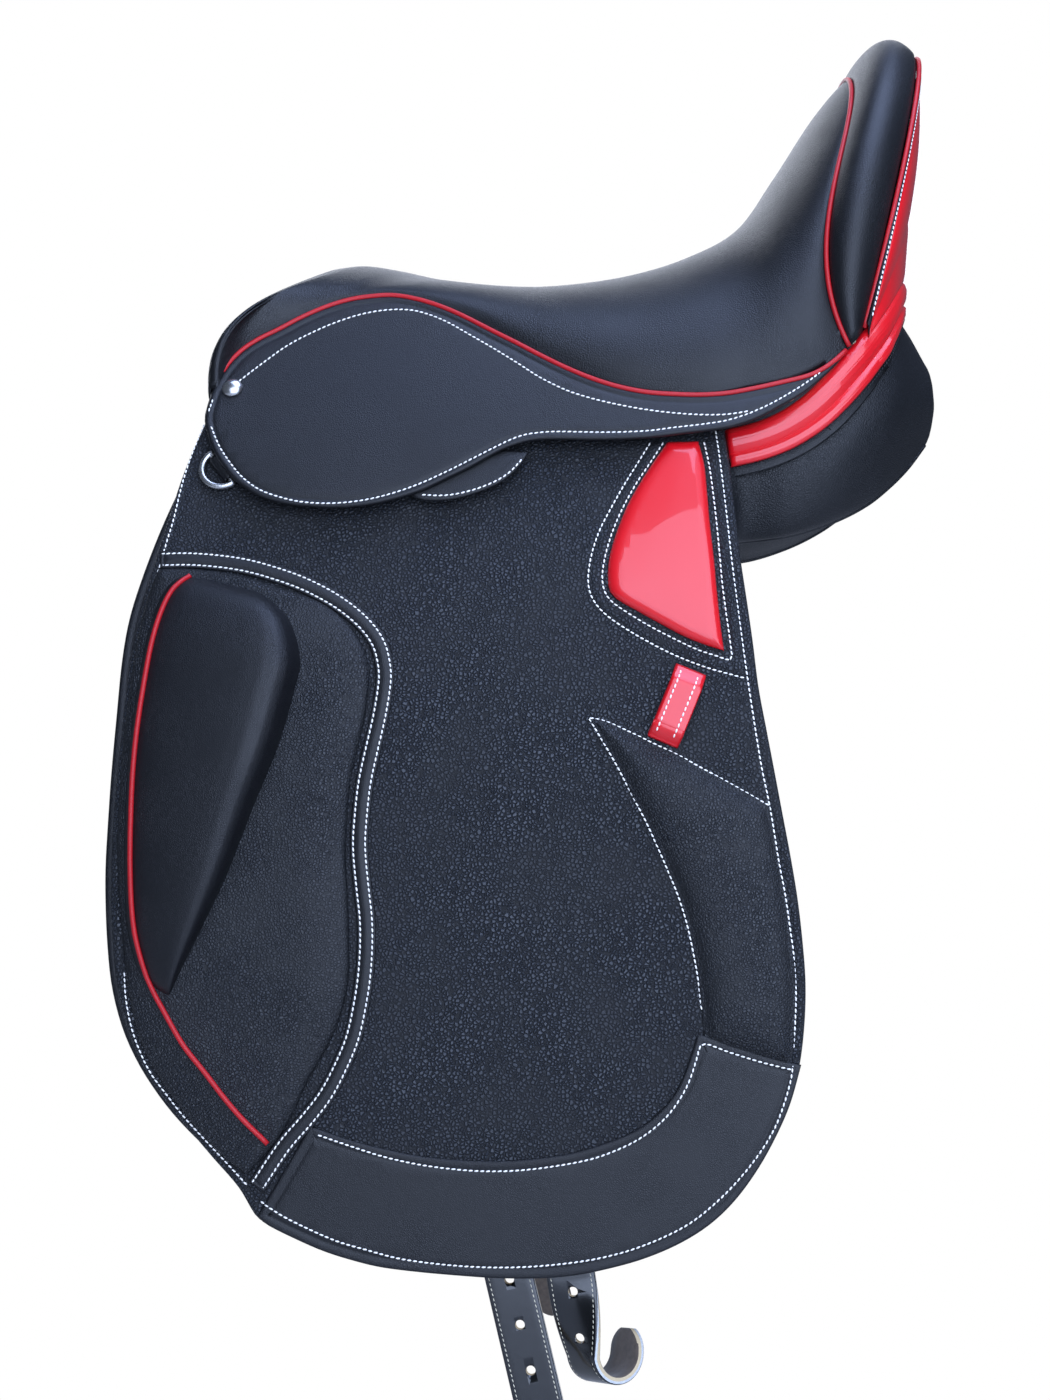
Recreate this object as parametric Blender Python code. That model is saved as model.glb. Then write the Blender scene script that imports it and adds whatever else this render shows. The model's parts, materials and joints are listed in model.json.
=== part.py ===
"""A dressage saddle with long flaps, outside knee blocks and two long girth billets on each side.

The pommel points to -X, the cantle to +X, and +Z is up. The horse's left side is -Y.
The origin lies between the two panels, where they bear on the horse's back.
Everything is in metres. One side is described, and side is -1 for the left and +1 for the right.
"""

import math

import bmesh
import bpy
from mathutils import Vector

SIDES = (("L", -1), ("R", 1))

# Running gap between pieces that lie on each other
GAP = 0.0003

# Height of the line that flap and skirt fold up about
HINGE_Z = 0.055
# Clearance of the skirt to each side of that line, so that it can fold up past the fixed part
HINGE_GAP = 0.002

# The side of the saddle: its half width at HEAD_X for four heights, and how it spreads to the rear
HEAD_X = -0.177
HALF_WIDTHS = ((-0.400, 0.168), (-0.100, 0.140), (-0.015, 0.120), (HINGE_Z, 0.092))
UPPER_LEAN = 0.55
SPREAD = 0.115
BENDS = tuple(z for z, width in HALF_WIDTHS[1:])

FLAP_T = 0.005
BILLET_T = 0.004
BILLET_END_T = 0.0038
BILLET_GAP = 0.0005
SWEAT_FLAP_T = 0.003
SKIRT_GAP = 0.009
SKIRT_T = 0.0026
PIPING_R = 0.0013
PIPING_SEAT = 0.0018

# Layers of the seat, at the middle and at its sides
COVER_T = 0.0025
FOAM_T, FOAM_SIDE_T = 0.010, 0.0058
WEBBING_T = 0.0015
TREE_T, TREE_SIDE_T = 0.007, 0.006
PLATE_T = 0.002

# Rows across the seat from pommel to cantle: middle x z, side x z, height where the tree's rail ends, and bow
SEAT_ROWS = (
    (-0.105, 0.155, -0.171, 0.073, 0.060, -0.012),
    (-0.090, 0.156, -0.158, 0.097, 0.060, -0.008),
    (-0.068, 0.152, -0.126, 0.116, 0.060, -0.003),
    (-0.040, 0.145, -0.085, 0.128, 0.060, 0.0),
    (-0.012, 0.142, -0.037, 0.116, 0.060, 0.0),
    (0.020, 0.143, 0.008, 0.090, 0.060, 0.0),
    (0.060, 0.149, 0.052, 0.070, 0.060, 0.0),
    (0.095, 0.160, 0.095, 0.064, 0.060, 0.0),
    (0.125, 0.177, 0.123, 0.068, 0.060, -0.002),
    (0.148, 0.209, 0.145, 0.072, 0.062, -0.005),
    (0.170, 0.243, 0.163, 0.080, 0.0755, -0.010),
    (0.190, 0.268, 0.178, 0.095, 0.093, -0.016),
)
RIM_ROW = (0.231, 0.281, 0.184, 0.101, 0.099, 0.0)
BACK_ROW = (0.222, 0.150, 0.186, 0.097)
BACK_HALF_W = 0.120
BACK_T = 0.002
FACING_STEPS = 4
FACING_BULGE = 0.35
CANTLE_HEART = Vector((0.205, 0.0, 0.150))
SEAT_COLUMNS = 6
TREE_OPENING = (3, 8, 2)
SPRING_ROWS = (2, 8)
SPRING_COLUMNS = (3, 4)

# Panels: channel, then rows of x, inner top, inner bottom and outer bottom height along the flap
CHANNEL_HALF = 0.038
PANEL_TOP = HINGE_Z + 0.004
PANEL_ROWS = (
    (-0.172, 0.010, -0.070),
    (-0.120, 0.030, -0.062),
    (-0.060, 0.033, -0.045),
    (0.000, 0.030, -0.028),
    (0.055, 0.026, -0.020),
    (0.100, 0.023, -0.018),
)
# Rows behind the flap: x, inner top z, top outer y z, side y z, belly y z, bottom outer y z, inner bottom z
PANEL_REAR_ROWS = (
    (0.118, 0.058, 0.110, 0.054, 0.117, 0.040, 0.119, 0.012, 0.110, -0.012, 0.021),
    (0.145, 0.060, 0.112, 0.060, 0.120, 0.046, 0.1225, 0.018, 0.112, -0.008, 0.020),
    (0.170, 0.072, 0.107, 0.073, 0.116, 0.062, 0.121, 0.032, 0.108, 0.001, 0.022),
    (0.190, 0.096, 0.100, 0.098, 0.108, 0.088, 0.114, 0.048, 0.098, 0.012, 0.028),
    (0.205, 0.116, 0.082, 0.116, 0.092, 0.102, 0.104, 0.062, 0.086, 0.024, 0.036),
    (0.218, 0.108, 0.062, 0.110, 0.078, 0.096, 0.088, 0.066, 0.072, 0.036, 0.046),
    (0.230, 0.090, 0.052, 0.092, 0.066, 0.086, 0.072, 0.068, 0.058, 0.050, 0.058),
)
PANEL_BELLY = 0.008
LINING_T = 0.0015
LINING_X = (-0.165, 0.200)

# Outlines seen from the side, as x z
FLAP_EDGE = (
    (-0.1775, 0.053), (-0.184, 0.040), (-0.191, 0.018), (-0.202, -0.021), (-0.211, -0.064),
    (-0.218, -0.115), (-0.221, -0.165), (-0.221, -0.207), (-0.217, -0.251), (-0.206, -0.285),
    (-0.188, -0.313), (-0.164, -0.340), (-0.137, -0.371), (-0.100, -0.387), (-0.054, -0.395),
    (0.000, -0.397), (0.044, -0.390), (0.079, -0.377), (0.107, -0.355), (0.127, -0.323),
    (0.140, -0.287), (0.144, -0.245), (0.140, -0.202), (0.133, -0.159), (0.126, -0.116),
    (0.120, -0.071), (0.115, -0.025), (0.111, 0.010), (0.106, 0.052),
)
NOTCH_GAP = 0.004
SWEAT_FLAP_EDGE = (
    (-0.176, 0.048), (-0.199, 0.000), (-0.211, -0.040), (-0.220, -0.090), (-0.225, -0.145),
    (-0.226, -0.195), (-0.223, -0.245), (-0.210, -0.287), (-0.188, -0.317), (-0.150, -0.350),
    (-0.100, -0.375), (0.000, -0.385), (0.070, -0.370), (0.112, -0.335), (0.130, -0.285),
    (0.133, -0.235), (0.120, -0.140), (0.108, -0.050), (0.100, 0.010), (0.098, 0.048),
)
SKIRT_EDGE = (
    (-0.1770, 0.053), (-0.170, 0.035), (-0.157, 0.018), (-0.144, 0.010), (-0.128, 0.005),
    (-0.108, 0.003), (-0.081, 0.005), (-0.055, 0.012), (-0.029, 0.025), (-0.010, 0.035),
    (0.008, 0.039), (0.037, 0.039), (0.066, 0.040), (0.087, 0.042), (0.108, 0.046), (0.124, 0.053),
)
SKIRT_TAIL = ((0.133, 0.057), (0.152, 0.066), (0.166, 0.078), (0.173, 0.087))
UNDER_SKIRT_EDGE = (
    (-0.064, 0.026), (-0.060, 0.010), (-0.045, 0.008), (-0.030, 0.011), (-0.018, 0.016),
    (-0.006, 0.024), (0.000, 0.032), (-0.030, 0.032),
)
UNDER_SKIRT_T = 0.002

# Knee block: front x z, rear x z and height of each row, from the top down
KNEE_ROWS = (
    (-0.180, -0.033, -0.142, -0.042, 0.012),
    (-0.190, -0.043, -0.125, -0.058, 0.023),
    (-0.197, -0.064, -0.118, -0.080, 0.029),
    (-0.202, -0.096, -0.121, -0.098, 0.031),
    (-0.205, -0.125, -0.130, -0.125, 0.031),
    (-0.207, -0.155, -0.143, -0.158, 0.029),
    (-0.207, -0.190, -0.156, -0.191, 0.026),
    (-0.205, -0.220, -0.170, -0.222, 0.021),
    (-0.199, -0.244, -0.182, -0.246, 0.014),
    (-0.193, -0.257, -0.187, -0.258, 0.009),
)
KNEE_GUSSET = 0.006
# Across the knee block: share of the way from front to rear, and share of the height
KNEE_PROFILE = ((0.0, 0.62), (0.14, 0.82), (0.38, 0.98), (0.66, 1.0), (0.88, 0.80), (0.97, 0.45))
KNEE_PIPING_END = ((-0.181, -0.277), (-0.163, -0.299), (-0.146, -0.319), (-0.131, -0.334))
PAD_T = 0.004
PAD_INNER_EDGE = (
    (-0.199, -0.028), (-0.155, -0.031), (-0.128, -0.039), (-0.101, -0.052), (-0.086, -0.070),
    (-0.082, -0.090), (-0.087, -0.125), (-0.093, -0.165), (-0.093, -0.210), (-0.092, -0.250),
    (-0.103, -0.283), (-0.124, -0.322), (-0.146, -0.350),
)
PAD_OUTER_EDGE = (
    (-0.162, -0.338), (-0.186, -0.311), (-0.204, -0.283), (-0.215, -0.250), (-0.219, -0.207),
    (-0.219, -0.165), (-0.216, -0.115), (-0.209, -0.064),
)
BAND_W = 0.008
BAND_T = 0.0015
BAND_GAP = 0.0005

INSET_EDGE = (
    (0.076, 0.037), (0.094, 0.038), (0.098, 0.010), (0.101, -0.030), (0.106, -0.074),
    (0.083, -0.066), (0.060, -0.053), (0.047, -0.043), (0.044, -0.028), (0.050, -0.009), (0.062, 0.018),
)
INSET_T = 0.003
REAR_PAD_EDGE = (
    (0.033, -0.110), (0.055, -0.118), (0.079, -0.129), (0.105, -0.143), (0.126, -0.157),
    (0.133, -0.200), (0.139, -0.245), (0.138, -0.284), (0.116, -0.278), (0.093, -0.269),
    (0.090, -0.240), (0.083, -0.205), (0.070, -0.173), (0.053, -0.143),
)
REAR_PAD_T = 0.0045
PATCH_EDGE = (
    (-0.102, -0.328), (-0.056, -0.337), (-0.010, -0.339), (0.030, -0.332), (0.058, -0.320),
    (0.074, -0.305), (0.084, -0.288), (0.092, -0.274), (0.116, -0.283), (0.138, -0.290),
    (0.126, -0.321), (0.106, -0.352), (0.078, -0.374), (0.043, -0.387), (0.000, -0.394),
    (-0.054, -0.392), (-0.099, -0.384), (-0.134, -0.368),
)
PATCH_T = 0.0012

KEEPER_TOP = (0.0865, -0.0845)
KEEPER_BOTTOM = (0.072, -0.1195)
KEEPER_W = 0.014
KEEPER_T = 0.002
KEEPER_ROOM = 0.0052

# Girth billets, which turn about their upper ends: top x, lean, length, curled length, flat end, holes.
# The flat end closes the straight run, clear of the flap and the holes, where the girth's buckle lies.
BILLET_PIVOT_Z = -0.116
BILLET_W = 0.025
BILLETS = (
    ("front_billet", -0.077, 0.244, 0.410, 0.0, 0.0175, 5),
    ("rear_billet", -0.019, 0.152, 0.327, 0.035, 0.0065, 2),
)
BILLET_HOLE_R = 0.0025
BILLET_HOLE_PITCH = 0.0235
BILLET_FIRST_HOLE = 0.2935
CURL_R = 0.014
CURL_TURN = math.radians(165)
CURL_TWIST = math.radians(50)
GIRTH_WEB_TOP = 0.004
GIRTH_WEB_OVER = 0.016

BAR_X = (-0.135, -0.050)
BAR_Z = (0.036, 0.049)
BAR_IN, BAR_T = 0.0035, 0.0045
BAR_BOSS = 0.022
BAR_PLATE_TOP = 0.080
CATCH_L = 0.012
CATCH_GAP = 0.0012

NAIL_AT = (-0.1625, 0.073)
NAIL_R = 0.0056
NAIL_H = 0.0032

RING_AT = (-0.1665, 0.0275)
RING_BAR_DIR = (0.610, -0.792)
RING_OUTER_R = 0.0135
RING_WIRE_R = 0.0022
RING_LIFT = 0.0042
CHAPE_W = 0.016
CHAPE_T = 0.0012
CHAPE_REACH = 0.011
CHAPE_CLEAR = 0.0004

CANTLE_BAND = (
    (0.112, 0.1215, 0.037), (0.127, 0.124, 0.040), (0.142, 0.125, 0.046), (0.156, 0.125, 0.055),
    (0.168, 0.124, 0.066), (0.179, 0.121, 0.078), (0.188, 0.1165, 0.089), (0.199, 0.108, 0.104),
    (0.209, 0.088, 0.121), (0.216, 0.052, 0.131), (0.219, 0.0, 0.135),
)
CANTLE_BAND_W = 0.018
CANTLE_BAND_T = 0.002


def skin(x, z):
    """Half width of the flap's outer face at x and z."""
    levels = HALF_WIDTHS
    spread = SPREAD * (x - HEAD_X)
    if z >= levels[-1][0]:
        return levels[-1][1] - UPPER_LEAN * (z - levels[-1][0]) + spread
    for (z0, w0), (z1, w1) in zip(levels, levels[1:]):
        if z <= z1:
            return w0 + (w1 - w0) * (z - z0) / (z1 - z0) + spread
    return levels[-1][1] + spread


def at(x, z, offset, side):
    return Vector((x, side * (skin(x, z) + offset), z))


def material(name, colour, roughness, metallic=0.0):
    made = bpy.data.materials.new(name)
    made.use_nodes = True
    shader = made.node_tree.nodes["Principled BSDF"]
    shader.inputs["Base Color"].default_value = (*colour, 1.0)
    shader.inputs["Roughness"].default_value = roughness
    shader.inputs["Metallic"].default_value = metallic
    return made


def add(name, mesh_data, look, parent=None):
    obj = bpy.data.objects.new(name, mesh_data)
    obj.data.materials.append(look)
    bpy.context.scene.collection.objects.link(obj)
    if parent:
        obj.parent = parent
        obj.matrix_parent_inverse = parent.matrix_world.inverted()
    return obj


def finish(name, mesh, look, parent=None):
    bmesh.ops.recalc_face_normals(mesh, faces=mesh.faces[:])
    data = bpy.data.meshes.new(name)
    mesh.to_mesh(data)
    mesh.free()
    return add(name, data, look, parent)


def plate(name, outline, low, high, side, look, parent=None):
    """A piece of even thickness that lies on the saddle's side, between two offsets from its skin."""
    mesh = bmesh.new()
    mesh.faces.new([mesh.verts.new((x, 0.0, z)) for x, z in outline])
    for level in BENDS:
        everything = mesh.verts[:] + mesh.edges[:] + mesh.faces[:]
        bmesh.ops.bisect_plane(
            mesh, geom=everything, dist=1e-6, plane_co=(0, 0, level), plane_no=(0, 0, 1)
        )
    near = mesh.verts[:]
    grown = bmesh.ops.extrude_face_region(mesh, geom=mesh.faces[:])["geom"]
    far = [item for item in grown if isinstance(item, bmesh.types.BMVert)]
    for vertices, offset in ((near, low), (far, high)):
        for vertex in vertices:
            vertex.co.y = side * (skin(vertex.co.x, vertex.co.z) + offset)
    return finish(name, mesh, look, parent)


def loft(name, rings, look, parent=None):
    """Closed body through a list of rings, with a cap on each end."""
    mesh = bmesh.new()
    rows = [[mesh.verts.new(point) for point in ring] for ring in rings]
    count = len(rows[0])
    for row, following in zip(rows, rows[1:]):
        for i in range(count):
            j = (i + 1) % count
            mesh.faces.new((row[i], row[j], following[j], following[i]))
    mesh.faces.new(rows[0])
    mesh.faces.new(list(reversed(rows[-1])))
    return finish(name, mesh, look, parent)


def shell(name, outer, inner, look, opening=None):
    """Sheet between two grids of points. opening leaves out the cells that it is true for."""
    mesh = bmesh.new()
    rows, columns = len(outer), len(outer[0])
    top = [[mesh.verts.new(point) for point in row] for row in outer]
    under = [[mesh.verts.new(point) for point in row] for row in inner]
    edges = {}
    for r in range(rows - 1):
        for c in range(columns - 1):
            if opening and opening(r, c):
                continue
            corners = ((r, c), (r, c + 1), (r + 1, c + 1), (r + 1, c))
            turn = 1 if outer[r][c].y + outer[r][c + 1].y < 0 else 0
            a, b, d, e = corners[turn:] + corners[:turn]
            for three in ((a, b, d), (a, d, e)):
                mesh.faces.new([top[i][j] for i, j in three])
                mesh.faces.new([under[i][j] for i, j in three[::-1]])
            for start, end in zip(corners, corners[1:] + corners[:1]):
                if (end, start) in edges:
                    del edges[end, start]
                else:
                    edges[start, end] = True
    for (i, j), (k, m) in edges:
        mesh.faces.new((top[k][m], top[i][j], under[i][j], under[k][m]))
    for vertex in [v for v in mesh.verts if not v.link_faces]:
        mesh.verts.remove(vertex)
    return finish(name, mesh, look)


def cord(name, points, radius, look, parent=None, cyclic=False):
    curve = bpy.data.curves.new(name, "CURVE")
    curve.dimensions = "3D"
    curve.bevel_depth = radius
    curve.bevel_resolution = 1
    curve.use_fill_caps = True
    spline = curve.splines.new("POLY")
    spline.points.add(len(points) - 1)
    for vertex, point in zip(spline.points, points):
        vertex.co = (*point, 1.0)
    spline.use_cyclic_u = cyclic
    return add(name, curve, look, parent)


def strip_outline(line, width):
    """Outline of a strip of even width on both sides of a line of x z points."""
    left, right = [], []
    for i, (x, z) in enumerate(line):
        before = Vector(line[max(i - 1, 0)])
        after = Vector(line[min(i + 1, len(line) - 1)])
        along = (after - before).normalized()
        across = Vector((-along.y, along.x)) * width / 2
        left.append((x + across.x, z + across.y))
        right.append((x - across.x, z - across.y))
    return left + right[::-1]


def shifted(line, distance):
    """The line moved sideways by a distance, to its left."""
    outline = strip_outline(line, 2 * distance)
    return outline[: len(line)]


def lerp(a, b, share):
    return a + (b - a) * share


def hinge_axis(side):
    """A point on the line that flap and skirt fold about, and its direction."""
    point = at(0.0, HINGE_Z, SKIRT_GAP + SKIRT_T / 2, side)
    return point, Vector((side, SPREAD, 0.0)).normalized()


def side_normal(side):
    """Outward normal of the lower flap, which the billets lie against."""
    (z0, w0), (z1, w1) = HALF_WIDTHS[:2]
    return Vector((-SPREAD, side, -(w1 - w0) / (z1 - z0))).normalized()


def upper_normal(side):
    """Outward normal of the flap just under the fold."""
    (z0, w0), (z1, w1) = HALF_WIDTHS[2:]
    return Vector((-SPREAD, side, -(w1 - w0) / (z1 - z0))).normalized()


def pivot(name, point):
    empty = bpy.data.objects.new(name, None)
    empty.location = point
    empty.empty_display_size = 0.02
    bpy.context.scene.collection.objects.link(empty)
    bpy.context.view_layer.update()
    return empty


def centre_normal(index):
    line = [(row[0], row[1]) for row in SEAT_ROWS] + [RIM_ROW[:2]]
    before, after = Vector(line[max(index - 1, 0)]), Vector(line[min(index + 1, len(line) - 1)])
    along = (after - before).normalized()
    return Vector((-along.y, along.x))


def seat_row(index, inset, side_inset, rail):
    """Points across one row of the seat, left to right, inset from its surface."""
    rim = index == len(SEAT_ROWS)
    mx, mz, sx, sz, rail_z, bow = RIM_ROW if rim else SEAT_ROWS[index]
    if rim:
        middle = Vector((mx, mz)) - Vector((1.2, 0.45)) * inset - Vector((0.0006, 0)) * (inset > 0)
        drawn_in = 1.2 * side_inset + 0.0015 * (inset > 0)
    else:
        middle = Vector((mx, mz)) - centre_normal(index) * inset
        drawn_in = side_inset
        sx, sz = shifted(piping_line(), PIPING_SEAT)[index]
    half = skin(sx, sz) + SKIRT_GAP + SKIRT_T - drawn_in
    points = []
    for column in range(SEAT_COLUMNS + 1):
        angle = math.pi / 2 * column / SEAT_COLUMNS
        share = 1 - math.cos(angle)
        swell = bow * 6.75 * share * share * (1 - share)
        lift = swell * -0.8 if index < 3 else 0.0
        points.append((
            lerp(middle.x, sx, share) + swell,
            half * math.sin(angle),
            lerp(middle.y, sz, share) + lift,
        ))
    if rail:
        points.append((sx, skin(sx, rail_z) + SKIRT_GAP + SKIRT_T - drawn_in, rail_z))
    mirrored = [Vector((x, -y, z)) for x, y, z in points[:0:-1]]
    return mirrored + [Vector(point) for point in points]


def facing_row(share, inset, side_inset, rail):
    """A row of the padded roll between the front and the rear piping of the cantle."""
    front = seat_row(len(SEAT_ROWS) - 1, inset, side_inset, rail)
    rear = seat_row(len(SEAT_ROWS), inset, side_inset, rail)
    row = []
    for a, b in zip(front, rear):
        point = a.lerp(b, share)
        out = (point - CANTLE_HEART).normalized()
        row.append(point + out * FACING_BULGE * (b - a).length * math.sin(math.pi * share))
    return row


def seat_layer(inset, side_inset, first=0, last=None, rail=False):
    """Rows of one layer. The rows of the cantle roll follow those of the seat."""
    rows = [seat_row(i, inset, side_inset, rail) for i in range(len(SEAT_ROWS))]
    rows += [facing_row(i / FACING_STEPS, inset, side_inset, rail) for i in range(1, FACING_STEPS + 1)]
    return rows[first:last]


def drawn_back(row, following, distance):
    """The row moved towards the next one, until it lies this far from where it was."""
    moved = []
    for i, (point, target) in enumerate(zip(row, following)):
        along = (row[min(i + 1, len(row) - 1)] - row[max(i - 1, 0)]).normalized()
        way = (target - point).normalized()
        square = (way - along * way.dot(along)).length
        moved.append(point + way * distance / max(square, 0.4))
    return moved


def trimmed(rows, start=0.0, end=0.0):
    """The rows with the first and the last drawn back by a distance."""
    rows = [list(row) for row in rows]
    if start:
        rows[0] = drawn_back(rows[0], rows[1], start)
    if end:
        rows[-1] = drawn_back(rows[-1], rows[-2], end)
    return rows


def build_seat(looks):
    cover_in, cover_side = COVER_T, COVER_T
    foam_out, foam_side = cover_in + 2 * GAP, cover_side + 2 * GAP
    foam_in, foam_side_in = foam_out + FOAM_T, foam_side + FOAM_SIDE_T
    web_out, web_in = foam_in + GAP, foam_in + GAP + WEBBING_T
    tree_out, tree_side = web_in + GAP, foam_side_in + GAP
    tree_in, tree_side_in = tree_out + TREE_T, tree_side + TREE_SIDE_T
    plate_out, plate_side = tree_in + GAP, tree_side_in + GAP
    plate_in, plate_side_in = plate_out + PLATE_T, plate_side + PLATE_T
    seat_end = len(SEAT_ROWS)

    def piece(name, outer, inner, look, first=0, last=None, rail=False, opening=None):
        shell(
            name, seat_layer(*outer, first, last, rail), seat_layer(*inner, first, last, rail),
            looks[look], opening,
        )

    for name, first, last, start, end in (
        ("seat_cover", 0, seat_end, 0.0, PIPING_SEAT),
        ("cantle_facing", seat_end - 1, None, PIPING_SEAT, PIPING_SEAT),
    ):
        outer = trimmed(seat_layer(0, 0, first, last), start, end)
        inner = trimmed(seat_layer(cover_in, cover_side, first, last), start, end)
        shell(name, outer, inner, looks["black"])

    piece("seat_foam", (foam_out, foam_side), (foam_in, foam_side_in), "foam", rail=True)
    first, last, half = TREE_OPENING
    middle = SEAT_COLUMNS + 1
    piece(
        "tree", (tree_out, tree_side), (tree_in, tree_side_in), "wood", rail=True,
        opening=lambda r, c: first <= r < last and abs(c + 0.5 - middle) < half,
    )
    web_rows = seat_layer(web_out, foam_side_in + GAP, first - 1, last + 2)
    web_under = seat_layer(web_in, foam_side_in + GAP + WEBBING_T / 2, first - 1, last + 2)
    middle = SEAT_COLUMNS
    shell(
        "seat_webbing",
        [row[middle - 1: middle + 2] for row in web_rows],
        [row[middle - 1: middle + 2] for row in web_under],
        looks["webbing"],
    )
    piece("head_plate", (plate_out, plate_side), (plate_in, plate_side_in), "steel", 0, 2, True)
    piece("cantle_plate", (plate_out, plate_side), (plate_in, plate_side_in), "steel", 9, seat_end)
    upper = seat_layer(plate_out, plate_side, SPRING_ROWS[0], SPRING_ROWS[1] + 1)
    under = seat_layer(plate_in, plate_side_in, SPRING_ROWS[0], SPRING_ROWS[1] + 1)
    for letter, side in SIDES:
        picked = sorted(middle + side * column for column in SPRING_COLUMNS)
        shell(
            f"spring_{letter}",
            [[row[c] for c in picked] for row in upper],
            [[row[c] for c in picked] for row in under],
            looks["steel"],
        )


def build_cantle(looks):
    """The back of the cantle, its two pipings and the patent band round it."""
    rim = seat_row(len(SEAT_ROWS), 0, 0, False)
    bx, bz, bsx, bsz = BACK_ROW
    lower, outward = [], []
    for column in range(-SEAT_COLUMNS, SEAT_COLUMNS + 1):
        angle = math.pi / 2 * column / SEAT_COLUMNS
        share = 1 - math.cos(angle)
        lower.append(Vector((lerp(bx, bsx, share), BACK_HALF_W * math.sin(angle), lerp(bz, bsz, share))))
        outward.append(Vector((math.cos(angle) + 0.2, math.sin(angle), 0)).normalized())
    kept = slice(1, -1)
    outer = [[a.lerp(b, share) for a, b in zip(rim[kept], lower[kept])] for share in (0, 0.33, 0.67, 1)]
    outer = trimmed(outer, PIPING_SEAT, 0)
    inner = [[point - out * BACK_T for point, out in zip(row, outward[kept])] for row in outer]
    shell("cantle_back", outer, inner, looks["patent"])

    front = seat_row(len(SEAT_ROWS) - 1, 0, 0, False)
    front = [p + (p - CANTLE_HEART).normalized() * GAP for p in front]
    cord("cantle_front_piping", front, PIPING_R, looks["red"])
    rear = [p + out * (PIPING_R / 2) for p, out in zip(rim, outward)]
    rear[0], rear[-1] = rear[0].lerp(rear[1], 0.35), rear[-1].lerp(rear[-2], 0.35)
    cord("cantle_rear_piping", rear, PIPING_R, looks["red"])

    right = [Vector(point) for point in CANTLE_BAND]
    left = [Vector((x, -y, z)) for x, y, z in CANTLE_BAND[:-1]]
    line = right + left[::-1]
    rings = []
    for i, point in enumerate(line):
        along = (line[min(i + 1, len(line) - 1)] - line[max(i - 1, 0)]).normalized()
        out = Vector((-along.y, along.x, 0.0)) * -1
        out = Vector((out.x, out.y, 0.2)).normalized()
        if out.dot(point - Vector((0.1, 0, point.z))) < 0:
            out = -out
        out = (out - along * out.dot(along)).normalized()
        wide = out.cross(along).normalized() * CANTLE_BAND_W / 2
        thick = out * CANTLE_BAND_T / 2
        rings.append([point + wide - thick, point + wide + thick, point - wide + thick, point - wide - thick])
    loft("cantle_band", rings, looks["patent"])


def panel_ring(row, side):
    """Section of a panel, from the top at the channel round the outside to the bottom."""
    if len(row) == 3:
        x, inner_z, outer_z = row
        inset = FLAP_T + 2 * BILLET_GAP + BILLET_T + SWEAT_FLAP_T + 2 * GAP
        levels = (HINGE_Z, (HINGE_Z + BENDS[1]) / 2, BENDS[1], outer_z)
        outside = [(skin(x, z) - inset, z) for z in levels]
        top_z = PANEL_TOP
    else:
        x, top_z, *rest, inner_z = row
        outside = list(zip(rest[::2], rest[1::2]))
    bottom_y, bottom_z = outside[-1]
    belly = []
    for share in (0.3, 0.62, 0.88):
        y = lerp(bottom_y, CHANNEL_HALF, share)
        z = lerp(bottom_z, inner_z, share) - PANEL_BELLY * math.sin(math.pi * share)
        belly.append((y, z))
    section = [(CHANNEL_HALF, top_z)] + outside + belly + [(CHANNEL_HALF, inner_z)]
    return [Vector((x, side * y, z)) for y, z in section]


def build_panels(looks):
    for letter, side in SIDES:
        rings = [panel_ring(row, side) for row in PANEL_ROWS + PANEL_REAR_ROWS]
        loft(f"panel_{letter}", rings, looks["black"])
    half = CHANNEL_HALF - GAP
    top = PANEL_TOP - GAP
    rings = [
        [Vector((x, -half, top)), Vector((x, half, top)),
         Vector((x, half, top - LINING_T)), Vector((x, -half, top - LINING_T))]
        for x in LINING_X
    ]
    loft("gullet_lining", rings, looks["black"])


def piping_line():
    return [(row[2], row[3]) for row in SEAT_ROWS]


def build_skirt(letter, side, looks, fold):
    line = piping_line()
    top = shifted(line, -PIPING_SEAT)
    top[-1] = tuple(Vector(top[-2]).lerp(Vector(top[-1]), 0.7))
    inner, outer = SKIRT_GAP, SKIRT_GAP + SKIRT_T
    fixed = top + [SKIRT_TAIL[-1]] + list(SKIRT_TAIL[::-1][1:])
    fixed += [(SKIRT_TAIL[0][0] - 0.004, HINGE_Z + HINGE_GAP), (SKIRT_EDGE[0][0], HINGE_Z + HINGE_GAP)]
    plate(f"upper_skirt_{letter}", fixed, inner, outer, side, looks["smooth"])
    bead = [at(x, z, outer - PIPING_R / 2, side) for x, z in line]
    bead[-1] = bead[-1].lerp(bead[-2], 0.25)
    cord(f"skirt_piping_{letter}", bead, PIPING_R, looks["red"])
    plate(f"skirt_{letter}", SKIRT_EDGE, inner, outer, side, looks["smooth"], fold)
    plate(
        f"under_skirt_{letter}", UNDER_SKIRT_EDGE, inner - GAP - UNDER_SKIRT_T, inner - GAP, side,
        looks["black"], fold,
    )
    nail_foot = at(*NAIL_AT, outer + GAP, side)
    out = Vector((-SPREAD, side, UPPER_LEAN)).normalized()
    flat = out.orthogonal().normalized()
    rings = []
    dome = ((NAIL_R, 0.0), (NAIL_R, 0.0007), (NAIL_R * 0.8, NAIL_H * 0.72), (NAIL_R * 0.42, NAIL_H))
    for radius, height in dome:
        ring = []
        for i in range(12):
            turn = 2 * math.pi * i / 12
            spoke = flat * math.cos(turn) + out.cross(flat) * math.sin(turn)
            ring.append(nail_foot + spoke * radius + out * height)
        rings.append(ring)
    loft(f"nail_{letter}", rings, looks["chrome"])


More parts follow.
